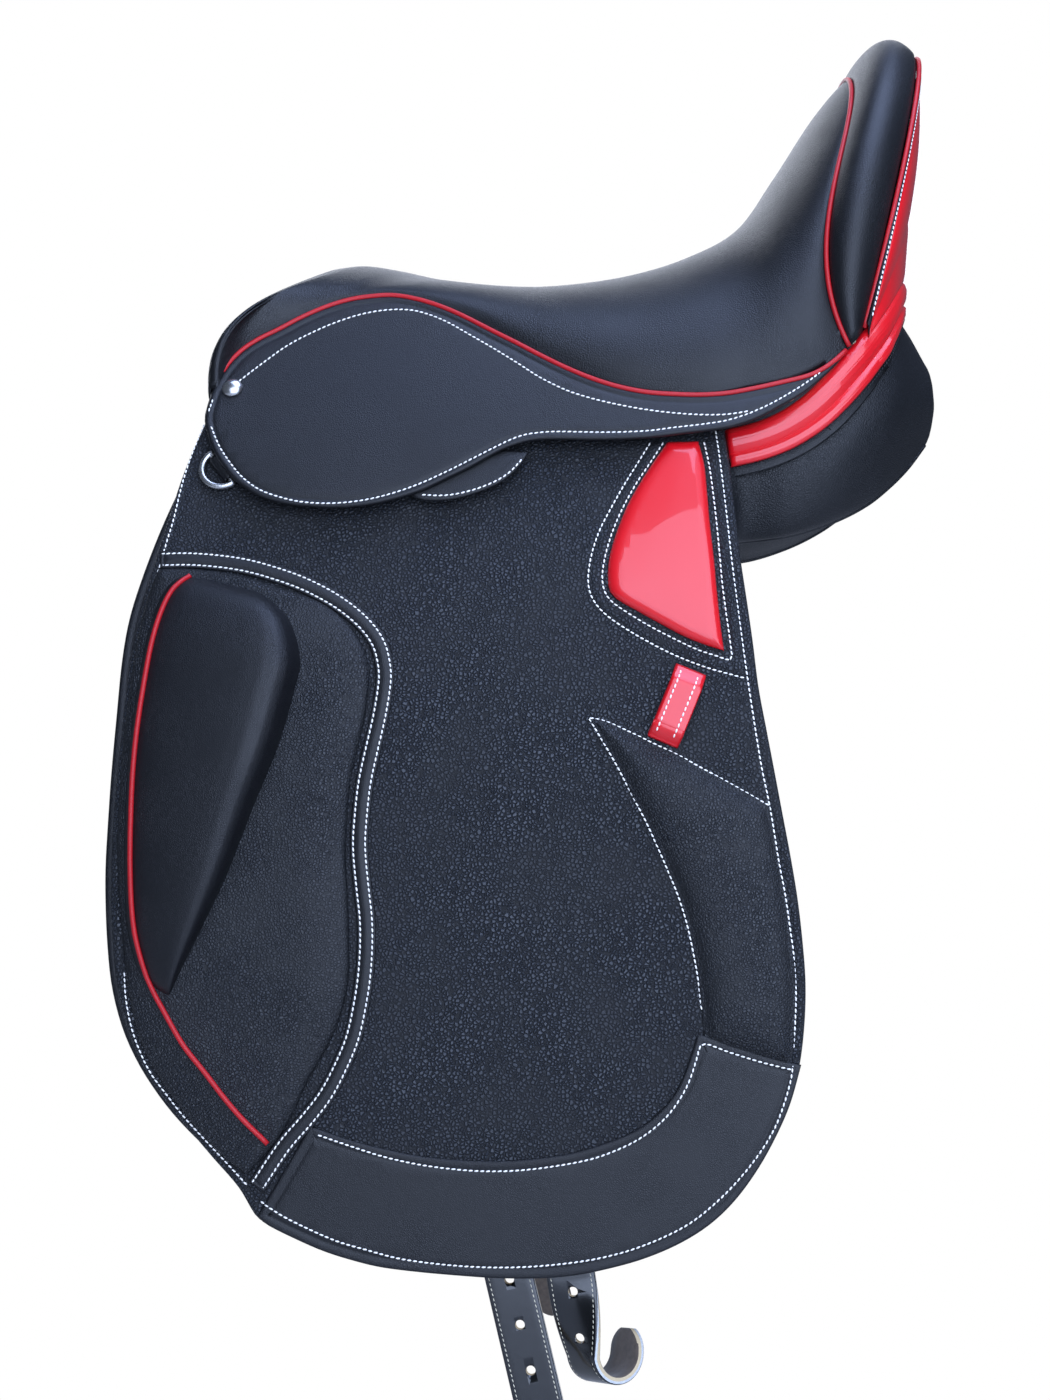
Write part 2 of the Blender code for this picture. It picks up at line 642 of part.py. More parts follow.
def build_flap(letter, side, looks, fold):
    notch_x = (BAR_X[0] - NOTCH_GAP, BAR_X[1] + CATCH_L + NOTCH_GAP)
    notch_z = BAR_Z[0] - NOTCH_GAP - 0.003
    notch = [
        (notch_x[1], FLAP_EDGE[-1][1]), (notch_x[1], notch_z),
        (notch_x[0], notch_z), (notch_x[0], FLAP_EDGE[0][1]),
    ]
    plate(f"flap_{letter}", list(FLAP_EDGE) + notch, -FLAP_T, 0.0, side, looks["grained"], fold)
    billet_depth = FLAP_T + 2 * BILLET_GAP + BILLET_T
    plate(
        f"sweat_flap_{letter}", SWEAT_FLAP_EDGE, -billet_depth - SWEAT_FLAP_T, -billet_depth, side,
        looks["grained"],
    )
    pad_edge = PAD_INNER_EDGE + PAD_OUTER_EDGE
    plate(f"knee_pad_{letter}", pad_edge, GAP, GAP + PAD_T, side, looks["black"], fold)
    band_line = shifted(PAD_INNER_EDGE, BAND_GAP + BAND_W / 2)
    plate(
        f"block_band_{letter}", strip_outline(band_line[:-1], BAND_W), GAP, GAP + BAND_T, side,
        looks["grained"], fold,
    )
    for name, outline, thickness, look in (
        ("patent_inset", INSET_EDGE, INSET_T, "patent"),
        ("rear_pad", REAR_PAD_EDGE, REAR_PAD_T, "black"),
        ("lower_patch", PATCH_EDGE, PATCH_T, "smooth"),
    ):
        plate(f"{name}_{letter}", outline, GAP, GAP + thickness, side, looks[look], fold)
    build_knee_block(letter, side, looks, fold)
    build_keeper(letter, side, looks, fold)


def build_knee_block(letter, side, looks, fold):
    foot = GAP + PAD_T + 2 * GAP
    rings, bead = [], []
    for i, (fx, fz, rx, rz, height) in enumerate(KNEE_ROWS):
        across = Vector((rx - fx, rz - fz))
        lead = across.normalized() * KNEE_GUSSET
        ring = [at(fx - lead.x, fz - lead.y, foot, side)]
        for share, rise in KNEE_PROFILE:
            x, z = fx + across.x * share, fz + across.y * share
            ring.append(at(x, z, max(height * rise, foot + 0.001 * rise), side))
        ring.append(at(rx, rz, foot, side))
        rings.append(ring)
        ahead = (at(fx - lead.x, fz - lead.y, height, side) - at(fx, fz, height, side)).normalized()
        outward = (ahead * 0.8 + Vector((0, side, 0)) * 0.6).normalized()
        bead.append(ring[1] + outward * (PIPING_R + 3 * GAP))
    loft(f"knee_block_{letter}", rings, looks["smooth"], fold)
    for x, z in KNEE_PIPING_END:
        bead.append(at(x, z, foot + PIPING_R + GAP, side))
    cord(f"block_piping_{letter}", bead, PIPING_R, looks["red"], fold)


def build_keeper(letter, side, looks, fold):
    """Loop that holds the stirrup leather: flat feet on the flap and a raised strap between them."""
    top, bottom = Vector(KEEPER_TOP), Vector(KEEPER_BOTTOM)
    across = (bottom - top).normalized()
    across = Vector((-across.y, across.x)) * KEEPER_W / 2
    rings = []
    foot = 2 * GAP
    for share, low, high in (
        (0.0, foot, foot + KEEPER_T),
        (0.12, foot, foot + KEEPER_T * 1.4),
        (0.2, KEEPER_ROOM * 0.7, KEEPER_ROOM * 0.7 + KEEPER_T * 1.3),
        (0.3, KEEPER_ROOM, KEEPER_ROOM + KEEPER_T),
        (0.7, KEEPER_ROOM, KEEPER_ROOM + KEEPER_T),
        (0.8, KEEPER_ROOM * 0.7, KEEPER_ROOM * 0.7 + KEEPER_T * 1.3),
        (0.88, foot, foot + KEEPER_T * 1.4),
        (1.0, foot, foot + KEEPER_T),
    ):
        point = top.lerp(bottom, share)
        one, other = point + across, point - across
        rings.append([
            at(one.x, one.y, low, side), at(one.x, one.y, high, side),
            at(other.x, other.y, high, side), at(other.x, other.y, low, side),
        ])
    loft(f"strap_keeper_{letter}", rings, looks["patent"], fold)


def build_billets(letter, side, looks):
    out = side_normal(side)
    offset = -FLAP_T - BILLET_GAP - BILLET_T / 2
    for name, top_x, lean, length, curl, flat, hole_count in BILLETS:
        top = at(top_x, BILLET_PIVOT_Z, offset, side)
        (z0, w0), (z1, w1) = HALF_WIDTHS[:2]
        slope = (w1 - w0) / (z1 - z0)
        far = Vector((lean, side * (SPREAD * lean - slope), -1.0)).normalized()
        wide = out.cross(far).normalized()
        turner = pivot(f"{name}_pivot_{letter}", top)
        rings = []
        for turn in (75, 55, 30, 0):
            angle = math.radians(turn)
            spot = top - far * BILLET_W / 2 * math.sin(angle)
            rings.append((spot, BILLET_T, wide, out, math.cos(angle)))
        straight = length - curl
        for reach in (straight - flat, straight):
            rings.append((top + far * reach, BILLET_END_T, wide, out, 1.0))
        spot, along, across, normal = top + far * straight, far, wide, out
        if curl:
            steps = 4
            for i in range(steps):
                spot = spot + along * curl / steps
                twist = -side * CURL_TWIST / steps
                across, normal = turned(across, along, twist), turned(normal, along, twist)
                rings.append((spot, BILLET_END_T, across, normal, 1.0))
            steps = 8
            for i in range(steps):
                bend = CURL_TURN / steps
                step = 2 * CURL_R * math.sin(bend / 2)
                half = bend_towards(along, normal, bend / 2)
                spot = spot + half * step
                along, normal = bend_towards(along, normal, bend), bend_towards(normal, -along, bend)
                rings.append((spot, BILLET_END_T, across, normal, 1.0))
        for reach, share in ((0.005, 0.92), (0.009, 0.70), (0.012, 0.35)):
            rings.append((spot + along * reach, BILLET_END_T, across, normal, share))
        loops = []
        for centre, thickness, sideways, normal_here, share in rings:
            w, t = sideways * BILLET_W / 2 * share, normal_here * thickness / 2
            loops.append([centre + w - t, centre + w + t, centre - w + t, centre - w - t])
        billet = loft(f"{name}_{letter}", loops, looks["strap"], turner)
        for i in range(round(hole_count)):
            punch_hole(billet, top + far * (BILLET_FIRST_HOLE + i * BILLET_HOLE_PITCH), out, i)


def turned(vector, axis, angle):
    """The vector turned about a unit axis."""
    cosine = math.cos(angle)
    return vector * cosine + axis.cross(vector) * math.sin(angle) + axis * axis.dot(vector) * (1 - cosine)


def bend_towards(along, normal, angle):
    """The direction bent away from the normal, towards the horse."""
    return (along * math.cos(angle) - normal * math.sin(angle)).normalized()


def punch_hole(strap, centre, out, index):
    flat = out.orthogonal().normalized()
    rings = []
    for reach in (-2 * BILLET_T, 2 * BILLET_T):
        ring = []
        for i in range(8):
            turn = 2 * math.pi * i / 8
            spoke = flat * math.cos(turn) + out.cross(flat) * math.sin(turn)
            ring.append(centre + spoke * BILLET_HOLE_R + out * reach)
        rings.append(ring)
    cutter = loft(f"{strap.name}_punch_{index}", rings, strap.data.materials[0], strap.parent)
    cutter.hide_render = True
    cutter.display_type = "WIRE"
    cut = strap.modifiers.new(f"hole_{index}", "BOOLEAN")
    cut.object = cutter
    cut.operation = "DIFFERENCE"


def build_girth_web(letter, side, looks):
    depth = FLAP_T + BILLET_GAP
    front, rear = BILLETS[0][1], BILLETS[1][1]
    bottom = BILLET_PIVOT_Z + BILLET_W / 2 + BILLET_GAP + 0.001
    reach = BILLET_W / 2 + GIRTH_WEB_OVER / 2
    outline = (
        (front - reach, GIRTH_WEB_TOP), (rear + reach, GIRTH_WEB_TOP),
        (rear + BILLET_W / 2, bottom), (front - BILLET_W / 2, bottom),
    )
    plate(f"girth_web_{letter}", outline, -depth - BILLET_T, -depth, side, looks["webbing"])


def build_stirrup_bar(letter, side, looks):
    """Forged bar, open at its rear end, with its plate behind the flap, and the catch at its end."""
    x0, x1 = BAR_X
    z0, z1 = BAR_Z
    outer = BAR_IN + BAR_T
    tree_face = SKIRT_GAP + SKIRT_T - COVER_T - FOAM_SIDE_T - TREE_SIDE_T - 3 * GAP
    plate_in = tree_face - PLATE_T - GAP
    back = [(x0, z0), (x1, z0), (x1, BAR_PLATE_TOP - 0.012), (x0, BAR_PLATE_TOP)]
    bar = plate(f"stirrup_bar_{letter}", back, plate_in, tree_face - GAP, side, looks["steel"])
    boss = [(x0, z0), (x0 + BAR_BOSS, z0), (x0 + BAR_BOSS, z1), (x0, z1)]
    front = [(x0, z0), (x1, z0), (x1, z1), (x0, z1)]
    for name, outline, low, high in (
        ("boss", boss, plate_in + PLATE_T / 2, outer - BAR_T / 2),
        ("arm", front, BAR_IN, outer),
    ):
        helper = plate(f"stirrup_{name}_{letter}", outline, low, high, side, looks["steel"])
        helper.hide_render = True
        helper.display_type = "WIRE"
        joined = bar.modifiers.new(name, "BOOLEAN")
        joined.object = helper
        joined.operation = "UNION"
    mid_z = (z0 + z1) / 2
    knuckle = (z1 - z0) / 2 - 0.001
    start = x1 + CATCH_GAP + knuckle
    outline = []
    for turn in (90, 120, 150, 180, 210, 240, 270):
        angle = math.radians(turn)
        outline.append((start + knuckle * math.cos(angle), mid_z + knuckle * math.sin(angle)))
    outline += [(x1 + CATCH_L - 0.001, mid_z - knuckle), (x1 + CATCH_L, mid_z - knuckle / 2)]
    outline += [(x1 + CATCH_L, mid_z + knuckle / 2), (x1 + CATCH_L - 0.001, mid_z + knuckle)]
    turner = pivot(f"catch_pivot_{letter}", at(start, mid_z, BAR_IN + BAR_T / 2, side))
    plate(f"bar_catch_{letter}", outline, BAR_IN + GAP, outer - GAP, side, looks["steel"], turner)


def build_dee(letter, side, looks, fold):
    """Dee ring at the front of the skirt and the leather chape that holds its straight bar."""
    out = upper_normal(side)
    middle = at(*RING_AT, RING_LIFT, side)
    dx, dz = RING_BAR_DIR
    step = 0.01
    bar_end = at(RING_AT[0] + dx * step, RING_AT[1] + dz * step, RING_LIFT, side)
    bar = (bar_end - middle).normalized()
    hang = bar.cross(out).normalized()
    if hang.z > 0:
        hang = -hang
    radius = RING_OUTER_R - RING_WIRE_R
    turner = pivot(f"dring_pivot_{letter}", middle)
    turner.parent = fold
    turner.matrix_parent_inverse = fold.matrix_world.inverted()
    bpy.context.view_layer.update()
    points = [middle + bar * radius * share for share in (-1, -0.4, 0.4, 1)]
    for i in range(1, 12):
        angle = math.pi * i / 12
        points.append(middle + bar * radius * math.cos(angle) + hang * radius * math.sin(angle))
    cord(f"dring_{letter}", points, RING_WIRE_R, looks["chrome"], turner, True)

    clear = RING_WIRE_R + CHAPE_CLEAR
    profile = [(-CHAPE_REACH, clear + CHAPE_T)]
    for turn in range(90, -91, -30):
        angle = math.radians(turn)
        profile.append((math.cos(angle) * (clear + CHAPE_T), math.sin(angle) * (clear + CHAPE_T)))
    profile.append((-CHAPE_REACH, -clear - CHAPE_T))
    profile.append((-CHAPE_REACH, -clear))
    for turn in range(-90, 91, 30):
        angle = math.radians(turn)
        profile.append((math.cos(angle) * clear, math.sin(angle) * clear))
    profile.append((-CHAPE_REACH, clear))
    rings = [
        [middle + bar * end * CHAPE_W / 2 + hang * u + out * w for u, w in profile] for end in (-1, 1)
    ]
    loft(f"dring_chape_{letter}", rings, looks["black"], fold)


def main():
    for obj in list(bpy.data.objects):
        bpy.data.objects.remove(obj)
    looks = {
        "black": material("black_leather", (0.022, 0.025, 0.030), 0.50),
        "smooth": material("smooth_leather", (0.024, 0.027, 0.034), 0.38),
        "grained": material("grained_leather", (0.018, 0.020, 0.024), 0.45),
        "patent": material("red_patent_leather", (0.58, 0.006, 0.012), 0.08),
        "red": material("red_piping", (0.55, 0.015, 0.028), 0.42),
        "strap": material("billet_leather", (0.008, 0.009, 0.010), 0.30),
        "webbing": material("webbing", (0.62, 0.58, 0.48), 0.85),
        "foam": material("seat_foam", (0.75, 0.70, 0.58), 0.90),
        "wood": material("laminated_wood", (0.42, 0.27, 0.14), 0.60),
        "steel": material("forged_steel", (0.50, 0.51, 0.53), 0.30, 1.0),
        "chrome": material("chrome", (0.82, 0.83, 0.85), 0.10, 1.0),
    }
    build_seat(looks)
    build_cantle(looks)
    build_panels(looks)
    for letter, side in SIDES:
        fold = pivot(f"fold_{letter}", hinge_axis(side)[0])
        build_skirt(letter, side, looks, fold)
        build_flap(letter, side, looks, fold)
        build_girth_web(letter, side, looks)
        build_billets(letter, side, looks)
        build_stirrup_bar(letter, side, looks)
        build_dee(letter, side, looks, fold)
    bpy.context.view_layer.update()


main()
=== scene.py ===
# A dressage saddle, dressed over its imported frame. Metres. The pommel points to -X, the cantle to +X, +Z is
# up, and the horse's left side, which the camera sees, is -Y.
import json
import math

import bmesh
import bpy
import numpy as np
from mathutils import Matrix, Vector
from mathutils.bvhtree import BVHTree
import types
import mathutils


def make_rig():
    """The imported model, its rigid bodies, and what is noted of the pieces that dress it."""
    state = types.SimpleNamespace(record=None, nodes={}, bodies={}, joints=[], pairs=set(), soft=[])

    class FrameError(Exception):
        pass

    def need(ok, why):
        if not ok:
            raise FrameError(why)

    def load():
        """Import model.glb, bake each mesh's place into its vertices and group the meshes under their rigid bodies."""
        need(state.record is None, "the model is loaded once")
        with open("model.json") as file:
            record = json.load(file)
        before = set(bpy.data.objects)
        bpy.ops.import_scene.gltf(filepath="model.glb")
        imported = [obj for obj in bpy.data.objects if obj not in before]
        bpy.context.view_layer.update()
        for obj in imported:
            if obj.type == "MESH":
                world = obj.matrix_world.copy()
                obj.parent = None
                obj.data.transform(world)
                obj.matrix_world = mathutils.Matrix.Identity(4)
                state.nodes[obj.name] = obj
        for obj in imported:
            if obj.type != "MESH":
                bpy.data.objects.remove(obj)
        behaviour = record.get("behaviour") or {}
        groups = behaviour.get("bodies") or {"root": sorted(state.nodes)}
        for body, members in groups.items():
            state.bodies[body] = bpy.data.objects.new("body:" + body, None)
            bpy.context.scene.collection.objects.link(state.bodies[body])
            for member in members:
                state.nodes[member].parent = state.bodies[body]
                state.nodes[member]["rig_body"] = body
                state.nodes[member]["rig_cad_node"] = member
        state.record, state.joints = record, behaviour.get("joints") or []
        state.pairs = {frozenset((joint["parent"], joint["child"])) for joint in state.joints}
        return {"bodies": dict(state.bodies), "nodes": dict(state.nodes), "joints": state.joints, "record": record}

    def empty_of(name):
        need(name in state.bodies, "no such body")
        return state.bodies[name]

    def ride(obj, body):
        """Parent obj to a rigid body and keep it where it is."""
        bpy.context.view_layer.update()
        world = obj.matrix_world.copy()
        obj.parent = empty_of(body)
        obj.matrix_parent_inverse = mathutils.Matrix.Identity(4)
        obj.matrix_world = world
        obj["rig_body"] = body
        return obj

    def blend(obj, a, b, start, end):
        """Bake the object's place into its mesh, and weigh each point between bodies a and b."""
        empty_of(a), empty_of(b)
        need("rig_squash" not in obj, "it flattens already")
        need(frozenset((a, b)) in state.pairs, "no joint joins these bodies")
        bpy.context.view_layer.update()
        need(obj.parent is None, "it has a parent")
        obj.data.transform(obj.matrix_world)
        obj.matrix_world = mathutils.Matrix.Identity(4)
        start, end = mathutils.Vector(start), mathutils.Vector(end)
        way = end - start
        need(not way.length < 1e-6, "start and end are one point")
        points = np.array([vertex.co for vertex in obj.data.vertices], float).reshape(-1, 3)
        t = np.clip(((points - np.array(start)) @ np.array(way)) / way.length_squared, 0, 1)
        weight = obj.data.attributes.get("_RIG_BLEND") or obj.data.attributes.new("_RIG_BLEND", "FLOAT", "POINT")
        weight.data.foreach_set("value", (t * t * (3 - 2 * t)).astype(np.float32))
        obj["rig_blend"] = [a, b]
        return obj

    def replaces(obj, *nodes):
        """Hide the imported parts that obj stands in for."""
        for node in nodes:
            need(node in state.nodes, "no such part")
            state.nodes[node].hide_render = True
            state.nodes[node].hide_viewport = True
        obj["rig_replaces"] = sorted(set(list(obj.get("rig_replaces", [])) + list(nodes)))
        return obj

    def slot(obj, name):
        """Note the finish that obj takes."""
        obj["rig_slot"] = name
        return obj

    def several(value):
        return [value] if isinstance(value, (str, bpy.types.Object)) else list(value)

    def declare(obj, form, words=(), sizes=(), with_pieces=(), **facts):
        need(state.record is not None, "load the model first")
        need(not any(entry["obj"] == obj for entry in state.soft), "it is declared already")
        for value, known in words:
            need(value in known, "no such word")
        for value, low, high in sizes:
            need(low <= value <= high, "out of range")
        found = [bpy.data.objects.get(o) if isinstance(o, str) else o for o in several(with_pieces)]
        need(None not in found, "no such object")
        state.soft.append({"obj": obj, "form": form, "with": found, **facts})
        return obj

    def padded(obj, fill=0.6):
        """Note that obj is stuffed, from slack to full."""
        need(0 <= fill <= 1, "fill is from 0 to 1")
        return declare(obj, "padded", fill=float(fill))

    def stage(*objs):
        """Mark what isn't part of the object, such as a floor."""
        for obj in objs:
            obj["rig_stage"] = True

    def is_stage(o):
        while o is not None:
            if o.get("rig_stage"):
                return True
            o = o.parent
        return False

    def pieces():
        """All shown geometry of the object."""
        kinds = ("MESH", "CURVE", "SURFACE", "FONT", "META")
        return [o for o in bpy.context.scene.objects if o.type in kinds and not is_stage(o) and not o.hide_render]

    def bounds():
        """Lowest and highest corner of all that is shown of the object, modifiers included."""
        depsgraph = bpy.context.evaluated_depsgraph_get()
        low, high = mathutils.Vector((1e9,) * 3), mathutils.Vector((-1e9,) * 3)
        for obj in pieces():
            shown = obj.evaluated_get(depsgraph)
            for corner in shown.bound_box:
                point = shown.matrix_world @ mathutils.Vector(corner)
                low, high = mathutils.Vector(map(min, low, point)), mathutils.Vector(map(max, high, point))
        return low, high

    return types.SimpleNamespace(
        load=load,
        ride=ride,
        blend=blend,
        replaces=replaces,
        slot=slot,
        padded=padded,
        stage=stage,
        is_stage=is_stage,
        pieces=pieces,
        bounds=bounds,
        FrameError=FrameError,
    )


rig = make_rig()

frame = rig.load()
cad_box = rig.bounds()

# Camera, floor and light
# The view is level, square to the horse's left side, from 1.3 m. The saddle hangs in a white studio under
# three large soft lamps, and the floor lies below the billets.
VIEW_DISTANCE = 1.3
VIEW_HEIGHT = -0.100
FRAME_HEIGHT = 0.840
SENSOR = 36.0
FLOOR_Z = -0.62
FLOOR_SIZE = 4.0
scene = bpy.context.scene
scene.view_settings.view_transform = "Standard"

lens = bpy.data.cameras.new("view")
lens.sensor_fit = "VERTICAL"
lens.sensor_height = SENSOR
lens.lens = SENSOR * VIEW_DISTANCE / FRAME_HEIGHT
camera = bpy.data.objects.new("view", lens)
camera.location = (0, -VIEW_DISTANCE, VIEW_HEIGHT)
camera.rotation_euler = (math.radians(90), 0, 0)
scene.collection.objects.link(camera)
scene.camera = camera


def linear(code):
    """Linear colour of an sRGB hex code."""
    levels = [int(code[i: i + 2], 16) / 255 for i in (1, 3, 5)]
    return (*[c / 12.92 if c <= 0.04045 else ((c + 0.055) / 1.055) ** 2.4 for c in levels], 1.0)


def add_node(tree, kind, links=None, output=0, to=None, **settings):
    """Adds a shader node with its settings, and gives the output asked for, which may feed a socket too.

    links gives a value or another node's output for each of its inputs."""
    made = tree.nodes.new("ShaderNode" + kind)
    for key, value in settings.items():
        setattr(made, key, value)
    for key, value in (links or {}).items():
        if isinstance(value, bpy.types.NodeSocket):
            tree.links.new(value, made.inputs[key])
        else:
            made.inputs[key].default_value = value
    if to:
        tree.links.new(made.outputs[output], to)
    return made.outputs[output]


def new_material(name, code, roughness, **levels):
    """A material with its tree, its shader's sockets and the object's own coordinates."""
    made = bpy.data.materials.new(name)
    made.use_nodes = True
    sockets = made.node_tree.nodes["Principled BSDF"].inputs
    sockets["Base Color"].default_value = linear(code)
    sockets["Roughness"].default_value = roughness
    for socket, value in levels.items():
        sockets[socket.replace("_", " ")].default_value = value
    return made, made.node_tree, sockets, add_node(made.node_tree, "TexCoord", output="Object")


def white_to_camera(tree, kind, surface, end):
    """The surface still lights and takes shadow, while the camera sees plain white in its place."""
    white = add_node(tree, kind, {"Color": linear("#ffffff"), "Strength": 1.0})
    seen = add_node(tree, "LightPath", output="Is Camera Ray")
    add_node(tree, "MixShader", {0: seen, 1: surface, 2: white}, to=tree.nodes[end].inputs["Surface"])


def as_object(name, mesh, material=None):
    """The object of a bmesh, linked to the scene."""
    data = bpy.data.meshes.new(name)
    mesh.to_mesh(data)
    mesh.free()
    if material:
        data.materials.append(material)
    made = bpy.data.objects.new(name, data)
    scene.collection.objects.link(made)
    return made


world = bpy.data.worlds.new("studio")
scene.world = world
world.use_nodes = True
around = add_node(world.node_tree, "Background", {"Color": linear("#c3d3f0"), "Strength": 0.16})
white_to_camera(world.node_tree, "Background", around, "World Output")

# Matt studio paint, mid grey to the light
floor_paint, tree, *_ = new_material("white_studio_floor", "#c4c4c4", 0.9)
white_to_camera(tree, "Emission", tree.nodes["Principled BSDF"].outputs[0], "Material Output")
plane = bmesh.new()
bmesh.ops.create_grid(plane, x_segments=1, y_segments=1, size=FLOOR_SIZE,
                      matrix=Matrix.Translation((0, 0, FLOOR_Z)))
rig.stage(as_object("floor", plane, floor_paint))

for name, place, target, wide, tall, power, tint in (
    ("open_sky", (0.40, -1.90, 0.45), (0, 0, -0.10), 2.7, 2.1, 84, "#c4d4f4"),
    ("overhead", (0.30, -0.35, 1.45), (0, 0, 0), 1.3, 1.3, 30, "#b9ceff"),
    ("behind", (-0.30, 1.90, 1.00), (0, 0, 0.05), 2.4, 1.6, 36, "#e6ecfa"),
):
    lamp = bpy.data.lights.new(name, "AREA")
    lamp.shape = "RECTANGLE"
    lamp.size, lamp.size_y = wide, tall
    lamp.energy = power
    lamp.color = linear(tint)[:3]
    holder = bpy.data.objects.new(name, lamp)
    holder.visible_camera = False
    holder.location = place
    holder.rotation_euler = (Vector(target) - Vector(place)).to_track_quat("-Z", "Y").to_euler()
    scene.collection.objects.link(holder)

# Tree, steel and webbing
# A sprung tree of laminated beech, with a forged head plate, a pressed cantle plate and two flat springs
# riveted to it. Webbing is strained over its opening. These pieces are the frame's own and only get their
# finishes.

# A wave texture has about this many bands to the metre at scale 1
WAVE_BANDS = 3.14


def per_mm(size):
    """Texture scale, per metre, for a pattern that repeats at this size in millimetres."""
    return 1000.0 / size


# Laminated beech: long pale brown grain under thin varnish
beech, tree, sockets, place = new_material("laminated_beech", "#a97b4c", 0.45, Coat_Weight=0.3)
drawn = add_node(tree, "Mapping", {0: place, "Scale": (per_mm(60), per_mm(4), per_mm(4))})
grain = add_node(tree, "TexNoise", {"Vector": drawn, "Scale": 1.0, "Detail": 4.0})
add_node(tree, "Mix", {0: grain, 6: linear("#8a5f37"), 7: linear("#c1935f")}, 2, sockets["Base Color"],
         data_type="RGBA")
add_node(tree, "Bump", {"Height": grain, "Distance": 0.0001, "Strength": 0.4}, to=sockets["Normal"])

# Forged steel, bright from the linisher: fine scratches in the roughness
steel, tree, sockets, place = new_material("forged_steel", "#b9babd", 0.32, Metallic=1.0)
drawn = add_node(tree, "Mapping", {0: place, "Scale": (per_mm(20), per_mm(0.8), per_mm(0.8))})
scratch = add_node(tree, "TexNoise", {"Vector": drawn, "Scale": 1.0, "Detail": 3.0})
add_node(tree, "MapRange", {0: scratch, 3: 0.24, 4: 0.42}, to=sockets["Roughness"])
add_node(tree, "Bump", {"Height": scratch, "Distance": 0.00002, "Strength": 0.5}, to=sockets["Normal"])

# Polyester webbing: cream yarns, drawn as crossing at 4 mm
web, tree, sockets, place = new_material("polyester_webbing", "#cfc6ae", 0.85)
yarns = [add_node(tree, "TexWave", {"Vector": place, "Scale": per_mm(4.0) / WAVE_BANDS}, 1,
                  bands_direction=way) for way in "XZ"]
weave = add_node(tree, "Math", dict(enumerate(yarns)), operation="MAXIMUM")
add_node(tree, "Bump", {"Height": weave, "Distance": 0.0004}, to=sockets["Normal"])

# Seat foam: cream, open pores about 1 mm wide
foam, tree, sockets, place = new_material("seat_foam", "#dcd0b2", 0.95)
pores = add_node(tree, "TexVoronoi", {"Vector": place, "Scale": per_mm(1.2)})
add_node(tree, "Bump", {"Height": pores, "Distance": 0.0003}, to=sockets["Normal"])

for look, names in (
    (beech, ("tree",)),
    (steel, ("head_plate", "cantle_plate", "spring_L", "spring_R", "stirrup_bar_L", "stirrup_bar_R",
             "bar_catch_L", "bar_catch_R")),
    (web, ("seat_webbing", "girth_web_L", "girth_web_R")),
    (foam, ("seat_foam",)),
):
    for name in names:
        materials = frame["nodes"][name].data.materials
        materials.clear()
        materials.append(look)

# Seat
# Black calf, fine grained, drawn over 10 mm of foam from the pommel to the foot of the cantle and turned in
# under the front arch. It is one skin, cut to meet the skirts in a piped seam on each side.


def tenths(*points):
    """Points measured in tenths of a millimetre, in metres."""
    return np.array(points) / 10000


# The saddle's side spreads to the rear from the head plate. It is flat between bends, the top one where the
# skirts fold: the lowest bend's half width, each bend's height and reach, and the slopes between them
HEAD_X = -0.177
SPREAD = 0.115
FOLD_Z = 0.055
LOW_HALF_W = 0.140
BENDS = ((-0.100, 0.050), (-0.015, 0.040), (FOLD_Z, 0.030))
SLOPES = (-0.0933, -0.2353, -0.4, -0.55)
# What the top bend would take off the width at the fold
BEND_EASE = 0.001125
# The skirts stand this far off the side, and the seat lies flush with their face
SKIRT_LIFT, SKIRT_T = 0.009, 0.0026
SEAT_LIFT = SKIRT_LIFT + SKIRT_T
COVER_T, LINING_T = 0.0018, 0.0012
# Rows across the seat, pommel to cantle: middle x z, side x z, and bow
SEAT_ROWS = tenths(
    (-1050, 1550, -1707, 734, -120), (-900, 1560, -1580, 970, -80), (-680, 1520, -1260, 1160, -30),
    (-400, 1450, -850, 1280, 0), (-120, 1420, -370, 1160, 0), (200, 1430, 80, 900, 0),
    (600, 1490, 520, 700, 0), (950, 1600, 950, 640, 0), (1250, 1770, 1230, 680, -20),
    (1480, 2090, 1450, 720, -50), (1700, 2430, 1630, 800, -100), (1900, 2680, 1760, 920, -160),
)


def side_width(x, z):
    """Half width of the saddle at the flap's outer face. It takes numbers or arrays."""
    z = np.asarray(z, float)
    width = LOW_HALF_W + SLOPES[0] * (z - BENDS[0][0]) + BEND_EASE
    for (height, soft), before, after in zip(BENDS, SLOPES, SLOPES[1:]):
        t = np.clip(z - height, -soft, None)
        bend = np.where(t < soft, (t + soft) ** 2 / (4 * soft), t)
        width = width + (after - before) * bend
    return width + SPREAD * (np.asarray(x, float) - HEAD_X)


def curve_at(a, b, c, d, t):
    """Share t of the way from b to c, on a smooth curve through all four."""
    square, cube = 2 * a - 5 * b + 4 * c - d, 3 * b - a - 3 * c + d
    return 0.5 * (2 * b + (c - a) * t + square * t ** 2 + cube * t ** 3)


def between_rows(rows, u):
    """Row u, which may lie between two, on smooth curves through all of them."""
    last = len(rows) - 1
    i = min(int(u), last - 1)
    return curve_at(rows[max(i - 1, 0)], rows[i], rows[i + 1], rows[min(i + 2, last)], u - i)


def across_seat(row, v, front):
    """Point on a row at v, from -1 at the left seam to 1 at the right. front is how near the pommel it is."""
    mx, mz, sx, sz, bow = row
    angle = math.pi / 2 * abs(v)
    share = 1 - math.cos(angle)
    # The last three factors together peak at 4 / 27
    swell = bow * 27 / 4 * share * share * (1 - share)
    half = float(side_width(sx, sz)) + SEAT_LIFT
    lift = -0.8 * swell * front
    return np.array((mx + (sx - mx) * share + swell, math.copysign(half * math.sin(angle), v),
                     mz + (sz - mz) * share + lift))


